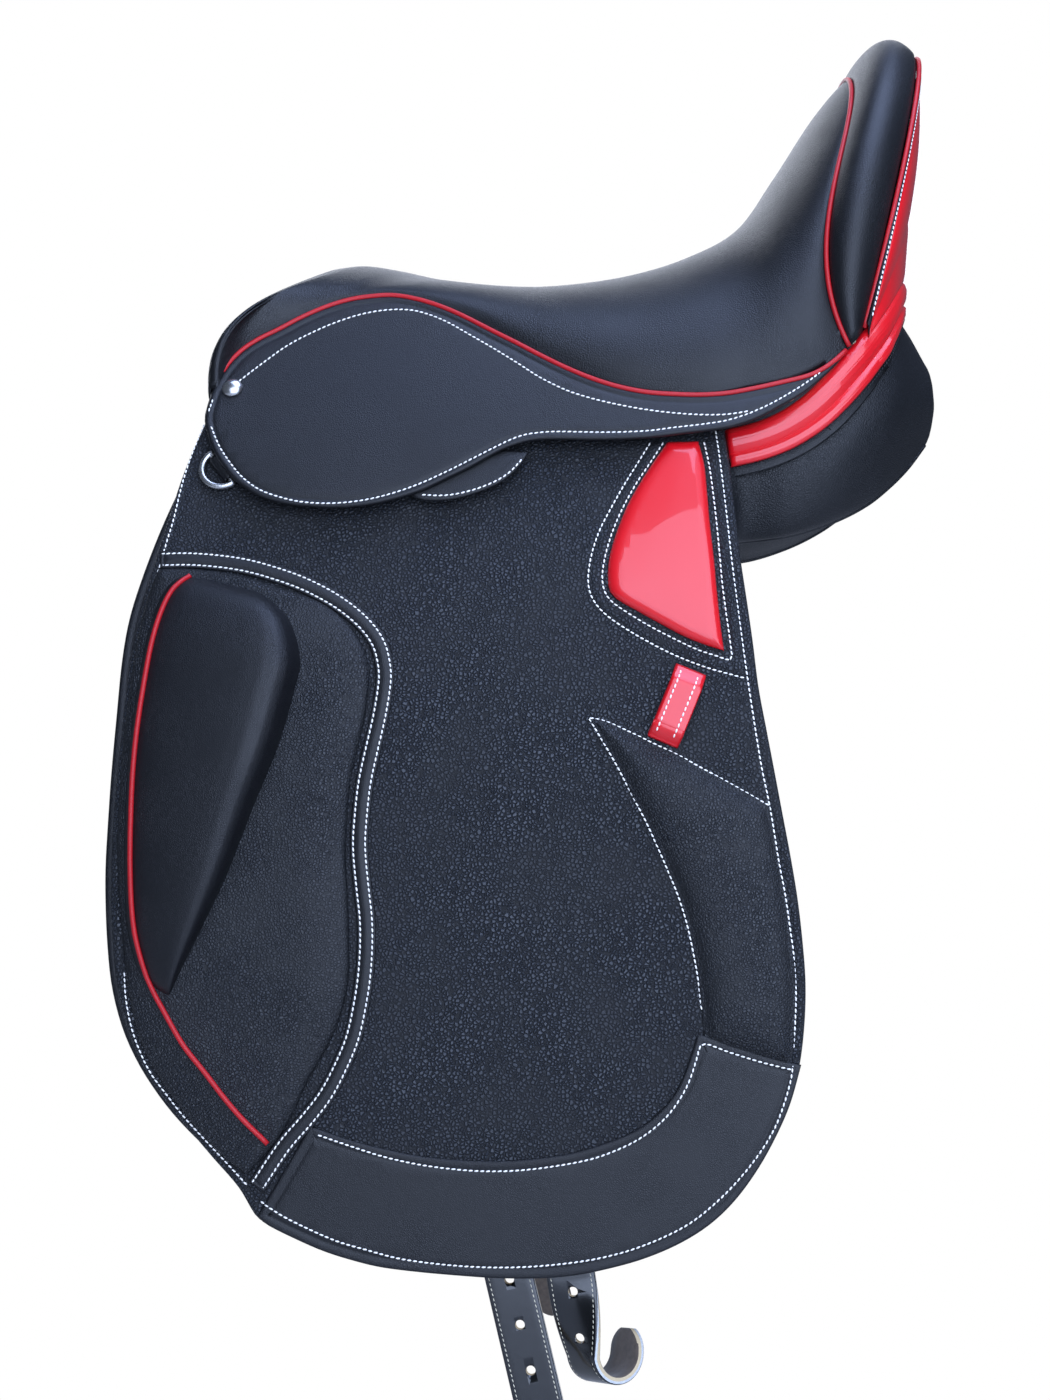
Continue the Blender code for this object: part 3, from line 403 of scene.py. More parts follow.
def seat_point(u, v):
    return across_seat(between_rows(SEAT_ROWS, u), v, min(max(3 - u, 0.0), 1.0))


def finish(name, mesh, material, body):
    """Turns a bmesh's faces outward and makes its object. It rides on a body, unless it is to be blended."""
    bmesh.ops.recalc_face_normals(mesh, faces=mesh.faces[:])
    if mesh.calc_volume(signed=True) < 0:
        bmesh.ops.reverse_faces(mesh, faces=mesh.faces[:])
    for face in mesh.faces:
        face.smooth = True
    made = as_object(name, mesh, material)
    if body:
        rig.ride(made, body)
    return made


def stands_for(piece, node, slot):
    """The piece hides the frame's node, and takes its finish from the record's slot."""
    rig.replaces(piece, node)
    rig.slot(piece, slot)


def grid_of(rows, columns, place):
    """A grid whose points place(s, t) sets, s and t from 0 to 1."""
    mesh = bmesh.new()
    bmesh.ops.create_grid(mesh, x_segments=rows, y_segments=columns, size=0.5)
    for vertex in mesh.verts:
        vertex.co = place(vertex.co.x + 0.5, vertex.co.y + 0.5)
    return mesh


def skin(name, rows, columns, place, thickness, material, body="saddle"):
    """A sheet of leather over a grid, thickened to its inner side."""
    mesh = grid_of(rows, columns, place)
    bmesh.ops.solidify(mesh, geom=mesh.faces[:], thickness=thickness)
    return finish(name, mesh, material, body)


# The pebbles of finished hide grow stronger and weaker over this many millimetres
PATCHES_MM = 38


def leather(name, code, roughness, grain_mm, depth_mm, dull=0.12, shade=0.72, creases=0.35):
    """Finished hide: rounded pebbles between fine creases.

    The creases are rougher by dull, and painted shade darkens them to the hide's colour times shade."""
    made, tree, sockets, place = new_material(name, code, roughness, IOR=1.47)
    warp, patchy, folds = (
        add_node(tree, "TexNoise", {"Vector": place, "Scale": per_mm(size), "Detail": detail}, output)
        for size, detail, output in ((grain_mm * 3, 2.0, 1), (PATCHES_MM, 2.0, 0), (grain_mm * 5, 3.0, 0)))
    bent = add_node(tree, "Mix", {0: 0.0012, 4: place, 5: warp}, 1, data_type="VECTOR")
    pebbles = add_node(tree, "TexVoronoi", {"Vector": bent, "Scale": per_mm(grain_mm)},
                       feature="DISTANCE_TO_EDGE")
    rounded = add_node(tree, "MapRange", {0: pebbles, 1: 0.0, 2: 0.28}, interpolation_type="SMOOTHSTEP")
    weight = add_node(tree, "MapRange", {0: patchy, 1: 0.35, 2: 0.65, 3: 0.45, 4: 1.0})
    pebbled = add_node(tree, "Math", {0: rounded, 1: weight}, operation="MULTIPLY")
    folded = add_node(tree, "Math", {0: folds, 1: creases, 2: pebbled}, operation="MULTIPLY_ADD")
    add_node(tree, "Bump", {"Height": folded, "Distance": depth_mm / 1000}, to=sockets["Normal"])
    add_node(tree, "MapRange", {0: pebbled, 3: roughness + dull, 4: roughness - 0.03},
             to=sockets["Roughness"])
    # Painted shade: between the pebbles, where the creases lie, the hide's colour falls to this
    painted_crease_shade = tuple(c * shade for c in linear(code)[:3]) + (1.0,)
    add_node(tree, "Mix", {0: pebbled, 6: painted_crease_shade, 7: linear(code)}, 2, sockets["Base Color"], data_type="RGBA")
    return made


# Black calf, aniline dyed and plated: pebbles 1.2 mm wide, which only show where the light grazes them
calf = leather("plated_calf", "#0b0c0f", 0.38, 1.2, 0.12)

# The seat's first share of rows is its turned-in edge, rolled on this radius towards the gullet's axis
TURN_SHARE, TURN_R = 0.10, 0.012
GULLET_Z = 0.02
# The skin dips this far at its side seams, over a share of its width, and at its foot, from this row on
SEAM_TUCK, FOOT_TUCK = 0.0016, 0.0018
SEAM_SHARE, FOOT_ROW = 0.10, 10.4
# The turned-in edge goes round its roll as far as the first, and lies flat inside from there to the second
ROLLED, TURN_END = 0.75, 1.25


def to_gullet(point):
    """The way in from a point of the front arch."""
    inward = np.array((0, -point[1], GULLET_Z - point[2]))
    return inward / np.linalg.norm(inward)


def seat_skin(s, t):
    """Rows run from the turned-in front edge over the seat to the cantle's foot, and dip at the seams."""
    v = 2 * t - 1
    if s >= TURN_SHARE:
        u = (len(SEAT_ROWS) - 1) * (s - TURN_SHARE) / (1 - TURN_SHARE)
        point = seat_point(u, v)
        seam = 1 - min((1 - abs(v)) / SEAM_SHARE, 1.0)
        foot = max(0.0, u - FOOT_ROW) / (len(SEAT_ROWS) - 1 - FOOT_ROW)
        return Vector(point + to_gullet(point) * max(SEAM_TUCK * seam ** 2, FOOT_TUCK * foot ** 2))
    point = seat_point(0, v)
    inward = to_gullet(point)
    turn = (1 - s / TURN_SHARE) * TURN_END
    if turn < ROLLED:
        angle = math.pi * turn / ROLLED
        rolled = np.array((-1, 0, 0.15)) * TURN_R * 0.55 * math.sin(angle)
        return Vector(point + inward * TURN_R * (1 - math.cos(angle)) + rolled)
    return Vector(point + inward * TURN_R * 2 + np.array((1, 0, -0.1)) * 0.05 * (turn - ROLLED))


seat = skin("seat_leather", 150, 96, seat_skin, -COVER_T, calf)
stands_for(seat, "seat_cover", "black_leather")
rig.padded(seat, fill=0.9)

# The facing clears the rim by the gap. Its top lies this deep inside it, less at the ends, and its foot here
FACING_GAP = 0.0035
FACING_DEPTH, FACING_LESS = 0.013, 0.011
FACING_FOOT_X, FACING_FOOT_Z = -0.1755, 0.0575
# The head plate's feet swell forward most at this angle round the arch
SWELL_AT, SWELL_SPREAD, SWELL = 0.64, 0.20, 0.0105
arch = np.array([seat_point(0, v) for v in np.linspace(0, 1, 60)])
arch_angles = np.arctan2(arch[:, 1], arch[:, 2] - GULLET_Z)


def facing_skin(s, t):
    """Under the front arch, from inside the turned-in edge to the panels, in front of the head plate."""
    v = 2 * t - 1
    rim = seat_point(0, v)
    top = rim + to_gullet(rim) * (FACING_DEPTH - FACING_LESS * v ** 6) - np.array((0.0045, 0, 0))
    foot = np.array((FACING_FOOT_X, rim[1] * 1.015, FACING_FOOT_Z))
    spot = top + (foot - top) * np.array((math.sin(math.pi / 2 * s), s, s))
    angle = math.atan2(abs(spot[1]), spot[2] - GULLET_Z)
    swell = SWELL * math.exp(-((angle - SWELL_AT) / SWELL_SPREAD) ** 2) * min(s / 0.06, 1.0)
    spot[0] = min(spot[0], np.interp(angle, arch_angles, arch[:, 0]) - FACING_GAP - swell)
    return Vector(spot)


facing = skin("pommel_facing", 24, 80, facing_skin, LINING_T, calf)
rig.slot(facing, "black_leather")

# Flaps
# Grained calf on a firm liner, 5 mm thick with rounded, inked edges, cut away at the top round the stirrup
# bar. Waxed linen is sewn 5 mm inside the edge, where the face is drawn down into a shallow groove.
SIDES = (("L", -1), ("R", 1))
FLAP_T = 0.005
FLAP_LINE = tenths(
    (-1785, 545), (-1840, 395), (-1898, 215), (-1957, -10), (-2007, -200), (-2058, -403), (-2099, -594),
    (-2135, -811), (-2155, -1027), (-2176, -1268), (-2198, -1535), (-2210, -1801), (-2210, -2065),
    (-2195, -2302), (-2170, -2512), (-2123, -2684), (-2061, -2850), (-1978, -3004), (-1879, -3131),
    (-1759, -3268), (-1640, -3399), (-1499, -3550), (-1408, -3690), (-1338, -3734), (-1190, -3801),
    (-1043, -3858), (-896, -3899), (-744, -3930), (-541, -3949), (-303, -3962), (-128, -3967), (77, -3961),
    (256, -3941), (434, -3901), (612, -3846), (790, -3766), (942, -3667), (1069, -3544), (1181, -3392),
    (1273, -3230), (1350, -3058), (1402, -2872), (1430, -2660), (1438, -2448), (1425, -2235), (1402, -2017),
    (1369, -1803), (1331, -1588), (1293, -1372), (1255, -1156), (1217, -930), (1193, -700), (1166, -470),
    (1140, -250), (1118, 20), (1100, 255), (1072, 510), (-270, 520), (-270, 290), (-1390, 290), (-1390, 530),
)
# The stitch line, which is sewn last, through the pads and patches that reach it
FLAP_SEAMS = (
    tenths((-1788, 537), (-1844, 368), (-1887, 200), (-1926, -15), (-1955, -130), (-1985, -260),
           (-2004, -332), (-2020, -400)),
    tenths((-2126, -2442), (-2118, -2562), (-2089, -2708), (-2043, -2837), (-1976, -2966), (-1883, -3083),
           (-1774, -3210), (-1563, -3421), (-1451, -3536)),
    tenths((-1380, -3613), (-1263, -3682), (-1115, -3749), (-968, -3805), (-822, -3842), (-650, -3882),
           (-473, -3902), (-303, -3912), (-133, -3912), (36, -3902), (204, -3882), (373, -3852), (545, -3803),
           (713, -3733), (844, -3660), (966, -3562), (1083, -3445), (1184, -3318), (1266, -3186),
           (1317, -3060), (1354, -2934), (1366, -2850)),
    tenths((1371, -2780), (1383, -2587), (1385, -2446), (1376, -2305), (1358, -2163), (1335, -1991),
           (1306, -1833), (1263, -1546), (1224, -1346), (1188, -1100), (1155, -850), (1125, -592),
           (1095, -300), (1074, -40), (1050, 253), (1030, 460)),
)


def on_side(x, z, lift, side):
    """A point on the side of the saddle, lifted off the flap's face."""
    return Vector((float(x), side * float(side_width(x, z) + lift), float(z)))


def paced(line, pitch, fewest, *others):
    """Even steps along a line, this many or more, and the same steps of any lists beside it."""
    reach = np.concatenate(([0], np.cumsum(np.linalg.norm(np.diff(line, axis=0), axis=1))))
    marks = np.linspace(0, reach[-1], max(fewest, round(reach[-1] / pitch)) + 1)
    return [np.stack([np.interp(marks, reach, column) for column in np.array(each).T], axis=1)
            for each in (line, *others)]


def spline(points, pitch, corners=()):
    """Points at an even pitch on a smooth curve through the given ones. Corners stay sharp and close it."""
    points = np.asarray(points, float)
    count = len(points)
    runs = [(a, b if b > a else b + count) for a, b in zip(corners, (*corners[1:], *corners[:1]))]
    line = []
    for start, end in runs or [(0, count - 1)]:
        dense = []
        for i in range(start, end):
            near = [points[min(max(k, start), end) % count] for k in range(i - 1, i + 3)]
            dense += [curve_at(*near, t) for t in np.linspace(0, 1, 12, endpoint=False)]
        run = paced(np.array([*dense, points[end % count]]), pitch, 2)[0]
        line += list(run[:-1] if corners else run)
    return np.array(line)


def distance_to(points, line):
    """How far each point lies from a closed line, in the plane."""
    along = np.roll(line, -1, axis=0) - line
    offsets = points[:, None] - line
    share = np.clip((offsets * along).sum(2) / np.maximum((along ** 2).sum(1), 1e-12), 0, 1)
    return np.linalg.norm(offsets - share[..., None] * along, axis=2).min(1)


# Leather is dressed in rings as far as this from its edge, and in a plain grid within them
RINGS_END = 0.0095


def ring_lines(line, rings):
    """A closed line drawn inward to each distance, or short of the middle line where the piece is narrow."""
    ahead = np.roll(line, -1, axis=0) - line
    area = float((line[:, 0] * np.roll(line[:, 1], -1) - line[:, 1] * np.roll(line[:, 0], -1)).sum())
    inward = np.stack((-ahead[:, 1], ahead[:, 0]), axis=1) * math.copysign(1, area)
    inward /= np.linalg.norm(inward, axis=1)[:, None]
    before = np.roll(inward, 1, axis=0)
    mitre = (inward + before) / np.maximum(1 + (inward * before).sum(1), 0.06)[:, None]
    farthest = max(rings) * 1.4
    room = np.full(len(line), farthest)
    for reach in np.arange(0.0002, farthest, 0.0003):
        short = distance_to(line + mitre * reach, line) < 0.95 * reach - 0.00002
        room = np.where(short & (room > reach), reach, room)
    return [line + mitre * np.minimum(distance, room * (0.72 + 0.14 * i / len(rings)))[:, None]
            for i, distance in enumerate(rings)]


def sewn(name, outline, lift, profile, side, material, body, corners, relief=None, grid=0.006, pitch=0.004):
    """A closed piece of leather cut to an outline in x and z, whose inner face lies at a lift off the flap.

    profile gives the height of its face at each distance from the edge, and relief(distance) adds to it."""
    line = spline(outline, pitch, corners)
    mesh = bmesh.new()
    middle = mesh.faces.new([mesh.verts.new((x, 0, z)) for x, z in line])
    for ring in ring_lines(line, [distance for distance, _ in profile if 0 < distance < RINGS_END]):
        bmesh.ops.inset_region(mesh, faces=[middle], thickness=0.00001, use_boundary=True)
        for vertex, (x, z) in zip(middle.verts, ring):
            vertex.co = (x, 0, z)
    inner = {middle}
    for axis, normal in ((0, Vector((1, 0, 0))), (1, Vector((0, 0, 1)))):
        for spot in np.arange(line[:, axis].min() + grid / 2, line[:, axis].max(), grid):
            geom = [*inner, *{e for f in inner for e in f.edges}, *{v for f in inner for v in f.verts}]
            cut = bmesh.ops.bisect_plane(mesh, geom=geom, dist=1e-6, plane_co=normal * spot, plane_no=normal)
            inner = {g for g in cut["geom"] if isinstance(g, bmesh.types.BMFace)}
    raised = bmesh.ops.extrude_face_region(mesh, geom=mesh.faces[:])["geom"]
    raised = {g for g in raised if isinstance(g, bmesh.types.BMVert)}
    verts = mesh.verts[:]
    spots = np.array([(v.co.x, v.co.z) for v in verts])
    reach = distance_to(spots, line)
    height = np.interp(reach, *profile.T)
    if relief:
        height = height + relief(reach)
    for vertex, (x, z), high in zip(verts, spots, height):
        vertex.co = on_side(x, z, lift + (high if vertex in raised else 0.0), side)
    return finish(name, mesh, material, body)


# Black calf, shrunken in the drum: deep pebbles 2 mm wide, its creases painted almost black as shade
grained = leather("grained_calf", "#262a31", 0.33, 2.0, 0.70, dull=0.40, shade=0.10)

FLAP_PROFILE = tenths(
    (0, 30), (4, 40), (10, 47), (20, 50), (36, 50), (46, 47), (53, 45), (60, 47), (72, 50), (3000, 50),
)
flaps = {}
for letter, side in SIDES:
    flap = sewn(f"flap_leather_{letter}", FLAP_LINE, -FLAP_T, FLAP_PROFILE, side, grained, f"flap_{letter}",
                corners=(0, 56, 57, 58, 59, 60))
    stands_for(flap, f"flap_{letter}", "grained_leather")
    flaps[letter] = flap

# Knee pads, bands and blocks
# A thin foam pad under fine grained calf fills the front of each flap, framed by a narrow smooth calf band that
# is sewn down on both edges. The moulded foam block stands on the pad in a fitted smooth calf cover, piped in
# red round its front.
PAD_INNER = tenths(
    (-1990, -287), (-1806, -289), (-1551, -324), (-1297, -402), (-1116, -467), (-992, -548), (-895, -660),
    (-840, -780), (-828, -899), (-847, -1079), (-888, -1264), (-924, -1443), (-938, -1622), (-946, -1805),
    (-930, -2060), (-923, -2278), (-922, -2423), (-942, -2568), (-988, -2713), (-1059, -2859), (-1143, -3004),
    (-1205, -3149), (-1290, -3290), (-1380, -3400), (-1450, -3478),
)
PAD_OUTER = tenths(
    (-1620, -3350), (-1855, -3085), (-2015, -2835), (-2095, -2560), (-2135, -2260), (-2170, -1900),
    (-2170, -1600), (-2145, -1150), (-2095, -700), (-2045, -450),
)
BAND = tenths(
    (-1985, -236), (-1790, -236), (-1553, -263), (-1363, -312), (-1174, -382), (-998, -478), (-862, -588),
    (-783, -694), (-751, -800), (-744, -900), (-770, -1080), (-812, -1270), (-847, -1440), (-866, -1620),
    (-873, -1780), (-853, -1990), (-835, -2140), (-832, -2280), (-840, -2430), (-861, -2580), (-900, -2760),
    (-961, -2910), (-1040, -3060), (-1140, -3190), (-1260, -3330), (-1400, -3540),
)
BAND_W, BAND_SEAM = 0.0098, 0.0017
# Rows down the block: front x z, rear x z, height
BLOCK_ROWS = tenths(
    (-1800, -325, -1420, -420, 120), (-1895, -425, -1255, -570, 230), (-1968, -640, -1187, -780, 290),
    (-2018, -950, -1218, -960, 310), (-2052, -1250, -1300, -1250, 310), (-2068, -1550, -1425, -1560, 290),
    (-2070, -1900, -1560, -1910, 260), (-2050, -2200, -1700, -2210, 210), (-1990, -2440, -1820, -2455, 140),
    (-1928, -2572, -1868, -2582, 75),
)
# The gusset takes the first share of the block's columns
GUSSET_W, GUSSET_SHARE = 0.006, 0.12
# Across the block, gusset foot to rear foot: share of the width, share of the height
BLOCK_PROFILE = (
    (0.0, 0.52), (0.05, 0.59), (0.14, 0.67), (0.26, 0.75), (0.38, 0.82), (0.52, 0.89), (0.66, 0.95),
    (0.78, 0.98), (0.87, 0.94), (0.93, 0.80), (0.972, 0.52), (1.0, 0.12),
)
# Its ends fall to the pad over these shares of their last rows
BLOCK_TOP_END, BLOCK_FOOT_END = 0.6, 0.8
PAD_T, PAD_CROWN, CROWN_REACH = 0.004, 0.0030, 0.022
PIPING_R = 0.0014
PIPE_END = tenths(
    (-1858, -2701), (-1782, -2818), (-1674, -2945), (-1571, -3071), (-1480, -3171), (-1340, -3310),
)
STITCH_L, STITCH_W, STITCH_H, STITCH_PITCH, STITCH_SLANT = 0.0024, 0.0010, 0.0008, 0.0030, 0.14
# Each stitch is dropped on the leather from this far off the flap's face
NEEDLE_FROM = 0.06


def eased(t):
    """From 0 to 1 with t, with no kink at either end."""
    t = np.clip(t, 0.0, 1.0)
    return t * t * (3 - 2 * t)


def beside(line, reach):
    """The line moved sideways in its plane."""
    along = np.gradient(line, axis=0)
    along /= np.linalg.norm(along, axis=1)[:, None]
    return line + reach * np.stack((-along[:, 1], along[:, 0]), axis=1)


def tube(name, points, radius, material, body="saddle", sides=10, closed=False):
    """A round cord through points in space, closed at both ends or into a ring."""
    path = bpy.data.curves.new("path", "CURVE")
    path.dimensions = "3D"
    path.bevel_depth = radius
    path.bevel_resolution = (sides - 4) // 2
    path.use_fill_caps = True
    run = path.splines.new("POLY")
    run.points.add(len(points) - 1)
    run.use_cyclic_u = closed
    for spot, place in zip(run.points, points):
        spot.co = (*place, 1.0)
    guide = bpy.data.objects.new("path", path)
    scene.collection.objects.link(guide)
    mesh = bmesh.new()
    mesh.from_mesh(guide.evaluated_get(bpy.context.evaluated_depsgraph_get()).to_mesh())
    bpy.data.objects.remove(guide)
    bpy.data.curves.remove(path)
    bmesh.ops.remove_doubles(mesh, verts=mesh.verts[:], dist=1e-6)
    return finish(name, mesh, material, body)


def add_row(mesh, spots, facing, length=STITCH_L, width=STITCH_W, pitch=STITCH_PITCH):
    """Adds a row of stitches along points in space, given the way that the leather faces at each."""
    spots, facing = paced(np.array(spots), pitch, 1, facing)
    size = Matrix.Diagonal((length / 2, width / 2, STITCH_H / 2, 1.0)) @ Matrix.Rotation(math.pi / 2, 4, "Y")
    # Twenty at a time, because a large bmesh takes new spheres slowly
    for first in range(0, len(spots) - 1, 20):
        part = bmesh.new()
        for i in range(first, min(first + 20, len(spots) - 1)):
            along, out = Vector(spots[i + 1] - spots[i]).normalized(), Vector(facing[i]).normalized()
            along = (along + out.cross(along).normalized() * STITCH_SLANT).normalized()
            across = out.cross(along).normalized()
            turn = Matrix((along, across, along.cross(across))).transposed().to_4x4()
            middle = Matrix.Translation(Vector(spots[i] + spots[i + 1]) / 2)
            bmesh.ops.create_uvsphere(part, u_segments=6, v_segments=4, radius=1.0,
                                      matrix=middle @ turn @ size)
        data = bpy.data.meshes.new("row")
        part.to_mesh(data)
        part.free()
        mesh.from_mesh(data)
        bpy.data.meshes.remove(data)


def stitches(name, seams, pieces, side, body):
    """Rows of thread along lines in x and z, each stitch lying on the outermost of the pieces under it."""
    trees = [BVHTree.FromPolygons([v.co for v in piece.data.vertices],
                                  [f.vertices for f in piece.data.polygons]) for piece in pieces]
    mesh = bmesh.new()
    for line in seams:
        spots = []
        for x, z in spline(line, STITCH_PITCH / 2):
            start = on_side(x, z, NEEDLE_FROM, side)
            hits = [tree.ray_cast(start, Vector((0, -side, 0)))[3] for tree in trees]
            depth = min((hit for hit in hits if hit is not None), default=NEEDLE_FROM)
            spots.append(on_side(x, z, NEEDLE_FROM - depth + 0.0002, side))
        add_row(mesh, spots, [(-SPREAD, side, 0.25)] * len(spots))
    return finish(name, mesh, thread, body)


# Waxed linen thread, off-white: two plies twisted together, drawn at 2 mm to show
thread, tree, sockets, place = new_material("waxed_linen_thread", "#fffaf0", 0.5)
ply = add_node(tree, "TexWave", {"Vector": place, "Scale": per_mm(2.0) / WAVE_BANDS}, 1,
               bands_direction="DIAGONAL")
add_node(tree, "Bump", {"Height": ply, "Distance": 0.0001}, to=sockets["Normal"])

# Black calf, sanded smooth and polished: faint pores and long soft creases
smooth = leather("smooth_calf", "#0b0c10", 0.38, 1.0, 0.10, creases=0.6)
# Black calf for the pads: the flap's hide with a finer, shallower pebble and creases painted dark as shade
pad_calf = leather("fine_grained_calf", "#1c1f24", 0.34, 1.6, 0.42, dull=0.25, shade=0.2)
# Red piping leather: thin sheepskin with a soft shine
red_piping = leather("red_piping_sheepskin", "#c8101a", 0.38, 0.8, 0.04)


def pad_relief(reach):
    return PAD_CROWN * eased(reach / CROWN_REACH)


def block_point(u, t, side):
    """A point on the block's cover: u down its rows, t across it from the gusset's foot to the rear foot."""
    rows = len(BLOCK_ROWS) - 1
    spot = min(max(u, 0.0), rows)
    fx, fz, rx, rz, height = between_rows(BLOCK_ROWS, spot)
    end = min(u / BLOCK_TOP_END if u < 1 else (rows - u) / BLOCK_FOOT_END, 1.0)
    fall = math.sin(math.pi / 2 * max(end, 0.0)) ** 0.8 if end > 0 else 0.0
    height = PAD_T + (height - PAD_T) * fall
    across = np.array((rx - fx, rz - fz))
    lead = across / np.linalg.norm(across)
    if t < GUSSET_SHARE:
        share = t / GUSSET_SHARE
        spot = np.array((fx, fz)) - lead * GUSSET_W * (1 - share) * fall
        high = PAD_T + (height * BLOCK_PROFILE[0][1] - PAD_T) * math.sin(math.pi / 2 * share) ** 0.9
        return on_side(*spot, max(high, PAD_T), side)
    reach = (t - GUSSET_SHARE) / (1 - GUSSET_SHARE)
    shares, heights = np.array(BLOCK_PROFILE).T
    where = np.interp(reach, np.linspace(0, 1, len(shares)), shares)
    high = height * np.interp(where, shares, heights)
    return on_side(*(np.array((fx, fz)) + across * where), max(high, PAD_T * 0.98), side)


pad_outline = np.concatenate((PAD_INNER, PAD_OUTER))
band_row = spline(BAND, 0.008)
band_outline = np.concatenate((beside(band_row, BAND_W / 2), beside(band_row, -BAND_W / 2)[::-1]))
band_corners = (0, len(band_row) - 1, len(band_row), 2 * len(band_row) - 1)
band_row = spline(BAND, 0.004)
band_seams = [beside(band_row, reach) for reach in (BAND_SEAM - BAND_W / 2, BAND_W / 2 - BAND_SEAM)]
for letter, side in SIDES:
    body = f"flap_{letter}"
    pad = sewn(f"knee_pad_leather_{letter}", pad_outline, 0.0002,
               tenths((0, 12), (8, 24), (20, 34), (40, 40), (80, 42), (3000, 42)),
               side, pad_calf, body, corners=(0, 24), relief=pad_relief, grid=0.005)
    stands_for(pad, f"knee_pad_{letter}", "black_leather")
    band = sewn(f"block_band_leather_{letter}", band_outline, 0.0002,
                tenths((0, 8), (5, 14), (12, 14), (18, 11), (26, 16), (49, 21)),
                side, smooth, body, corners=band_corners)
    stands_for(band, f"block_band_{letter}", "grained_leather")
    stitches(f"band_stitching_{letter}", band_seams, [band], side, body)
    mesh = grid_of(90, 40, lambda s, t: block_point(s * (len(BLOCK_ROWS) - 1), t, side))
    bmesh.ops.contextual_create(mesh, geom=[e for e in mesh.edges if e.is_boundary])
    block = finish(f"knee_block_leather_{letter}", mesh, smooth, body)
    stands_for(block, f"knee_block_{letter}", "knee_block_foam")
    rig.padded(block, fill=0.9)
    out = Vector((-1, side, 0)).normalized() * 0.0010
    front = [block_point(u, GUSSET_SHARE, side) + out for u in np.linspace(0.02, 8.9, 70)]
    front += [on_side(x, z, 0, side) for x, z in spline(PIPE_END, 0.003)[1:]]
    # It never sinks into the pad
    for spot, near in zip(front, distance_to(np.array([(p.x, p.z) for p in front]), pad_outline)):
        low = on_side(spot.x, spot.z, 0.0050 + float(pad_relief(near)), side).y
        spot.y = side * max(abs(spot.y), abs(low))
    piping = tube(f"block_piping_cover_{letter}", front, PIPING_R, red_piping, body)
    stands_for(piping, f"block_piping_{letter}", "red_piping")

# Patent insets, keepers, rear pads and lower patches
# Behind the rider's leg a red patent panel, padded and framed by a double-stitched calf border, sits over a
# patent keeper for the stirrup leather. Below it a thin stuffed pad and a smooth calf wear patch are sewn on.
PATENT_LINE = tenths(
    (771, 395), (935, 395), (962, 270), (972, 125), (982, -62), (998, -251), (1010, -433), (1026, -618),
    (1040, -742), (945, -712), (832, -665), (714, -601), (594, -532), (501, -478), (449, -425), (439, -344),
    (449, -240), (485, -115), (545, 35), (617, 165), (694, 285),
)
FRAME_INNER = tenths(
    (750, 395), (672, 275), (595, 159), (519, 20), (466, -104), (430, -219), (410, -332), (418, -415),
    (452, -474), (522, -527), (620, -590), (714, -643), (807, -691), (904, -737), (997, -768), (1075, -790),
    (1075, -713), (1057, -560), (1040, -400), (1030, -251), (1018, -61), (1004, 110), (990, 250), (965, 395),
)
FRAME_OUTER = tenths(
    (680, 395), (609, 280), (535, 160), (462, 30), (400, -90), (356, -218), (335, -345), (344, -430),
    (380, -500), (448, -567), (547, -635), (640, -690), (738, -743), (857, -796), (960, -834), (1050, -860),
    (1145, -886),
)
BORDER_REAR = tenths((1150, -850), (1124, -592), (1093, -300), (1072, -40), (1041, 395))
BORDER = np.concatenate((FRAME_OUTER, BORDER_REAR, FRAME_INNER[::-1]))
REAR_PAD = tenths(
    (334, -1094), (418, -1110), (547, -1167), (676, -1229), (794, -1285), (906, -1347), (1049, -1425),
    (1262, -1546), (1300, -1740), (1333, -1960), (1366, -2200), (1385, -2446), (1380, -2650), (1362, -2865),
    (1290, -2860), (1140, -2820), (1010, -2782), (918, -2735), (907, -2594), (890, -2440), (866, -2300),
    (836, -2160), (794, -2021), (743, -1893), (688, -1765), (630, -1637), (556, -1493), (473, -1333),
    (398, -1203),
)
REAR_PAD_PROFILE = tenths(
    (0, 4), (6, 8), (16, 9), (26, 16), (42, 30), (64, 42), (90, 52), (130, 62), (180, 68), (300, 72),
)
PATCH_TOP = tenths(
    (-1120, -3222), (-999, -3262), (-825, -3310), (-564, -3359), (-304, -3378), (-46, -3372), (205, -3336),
    (374, -3287), (548, -3217), (665, -3135), (752, -3040), (805, -2945), (850, -2825), (887, -2712),
    (1000, -2748), (1150, -2795), (1290, -2835), (1408, -2860),
)
PATCH_PROFILE = tenths(
    (0, 6), (4, 11), (12, 13), (30, 13), (40, 10), (48, 7), (56, 10), (70, 13), (3000, 14),
)
# The patch's lower edge is the flap's own
PATCH = np.concatenate((PATCH_TOP, FLAP_LINE[40:22:-1], tenths((-1395, -3690))))
PATCH_SEAM = tenths(
    (-1083, -3264), (-909, -3318), (-736, -3368), (-564, -3402), (-392, -3422), (-222, -3430), (-46, -3423),
    (123, -3401), (292, -3368), (410, -3332), (548, -3270), (650, -3202), (735, -3122), (798, -3034),
    (844, -2944), (881, -2833), (912, -2762), (1038, -2800), (1179, -2842), (1294, -2870), (1360, -2884),
)
KEEPER_FROM, KEEPER_TO = np.array((0.0868, -0.0838)), np.array((0.0716, -0.1202))
KEEPER_W, KEEPER_RISE, KEEPER_T, KEEPER_SEAM = 0.0165, 0.0055, 0.0020, 0.0047
# It rises over this share of its length at each end
KEEPER_END = 0.22

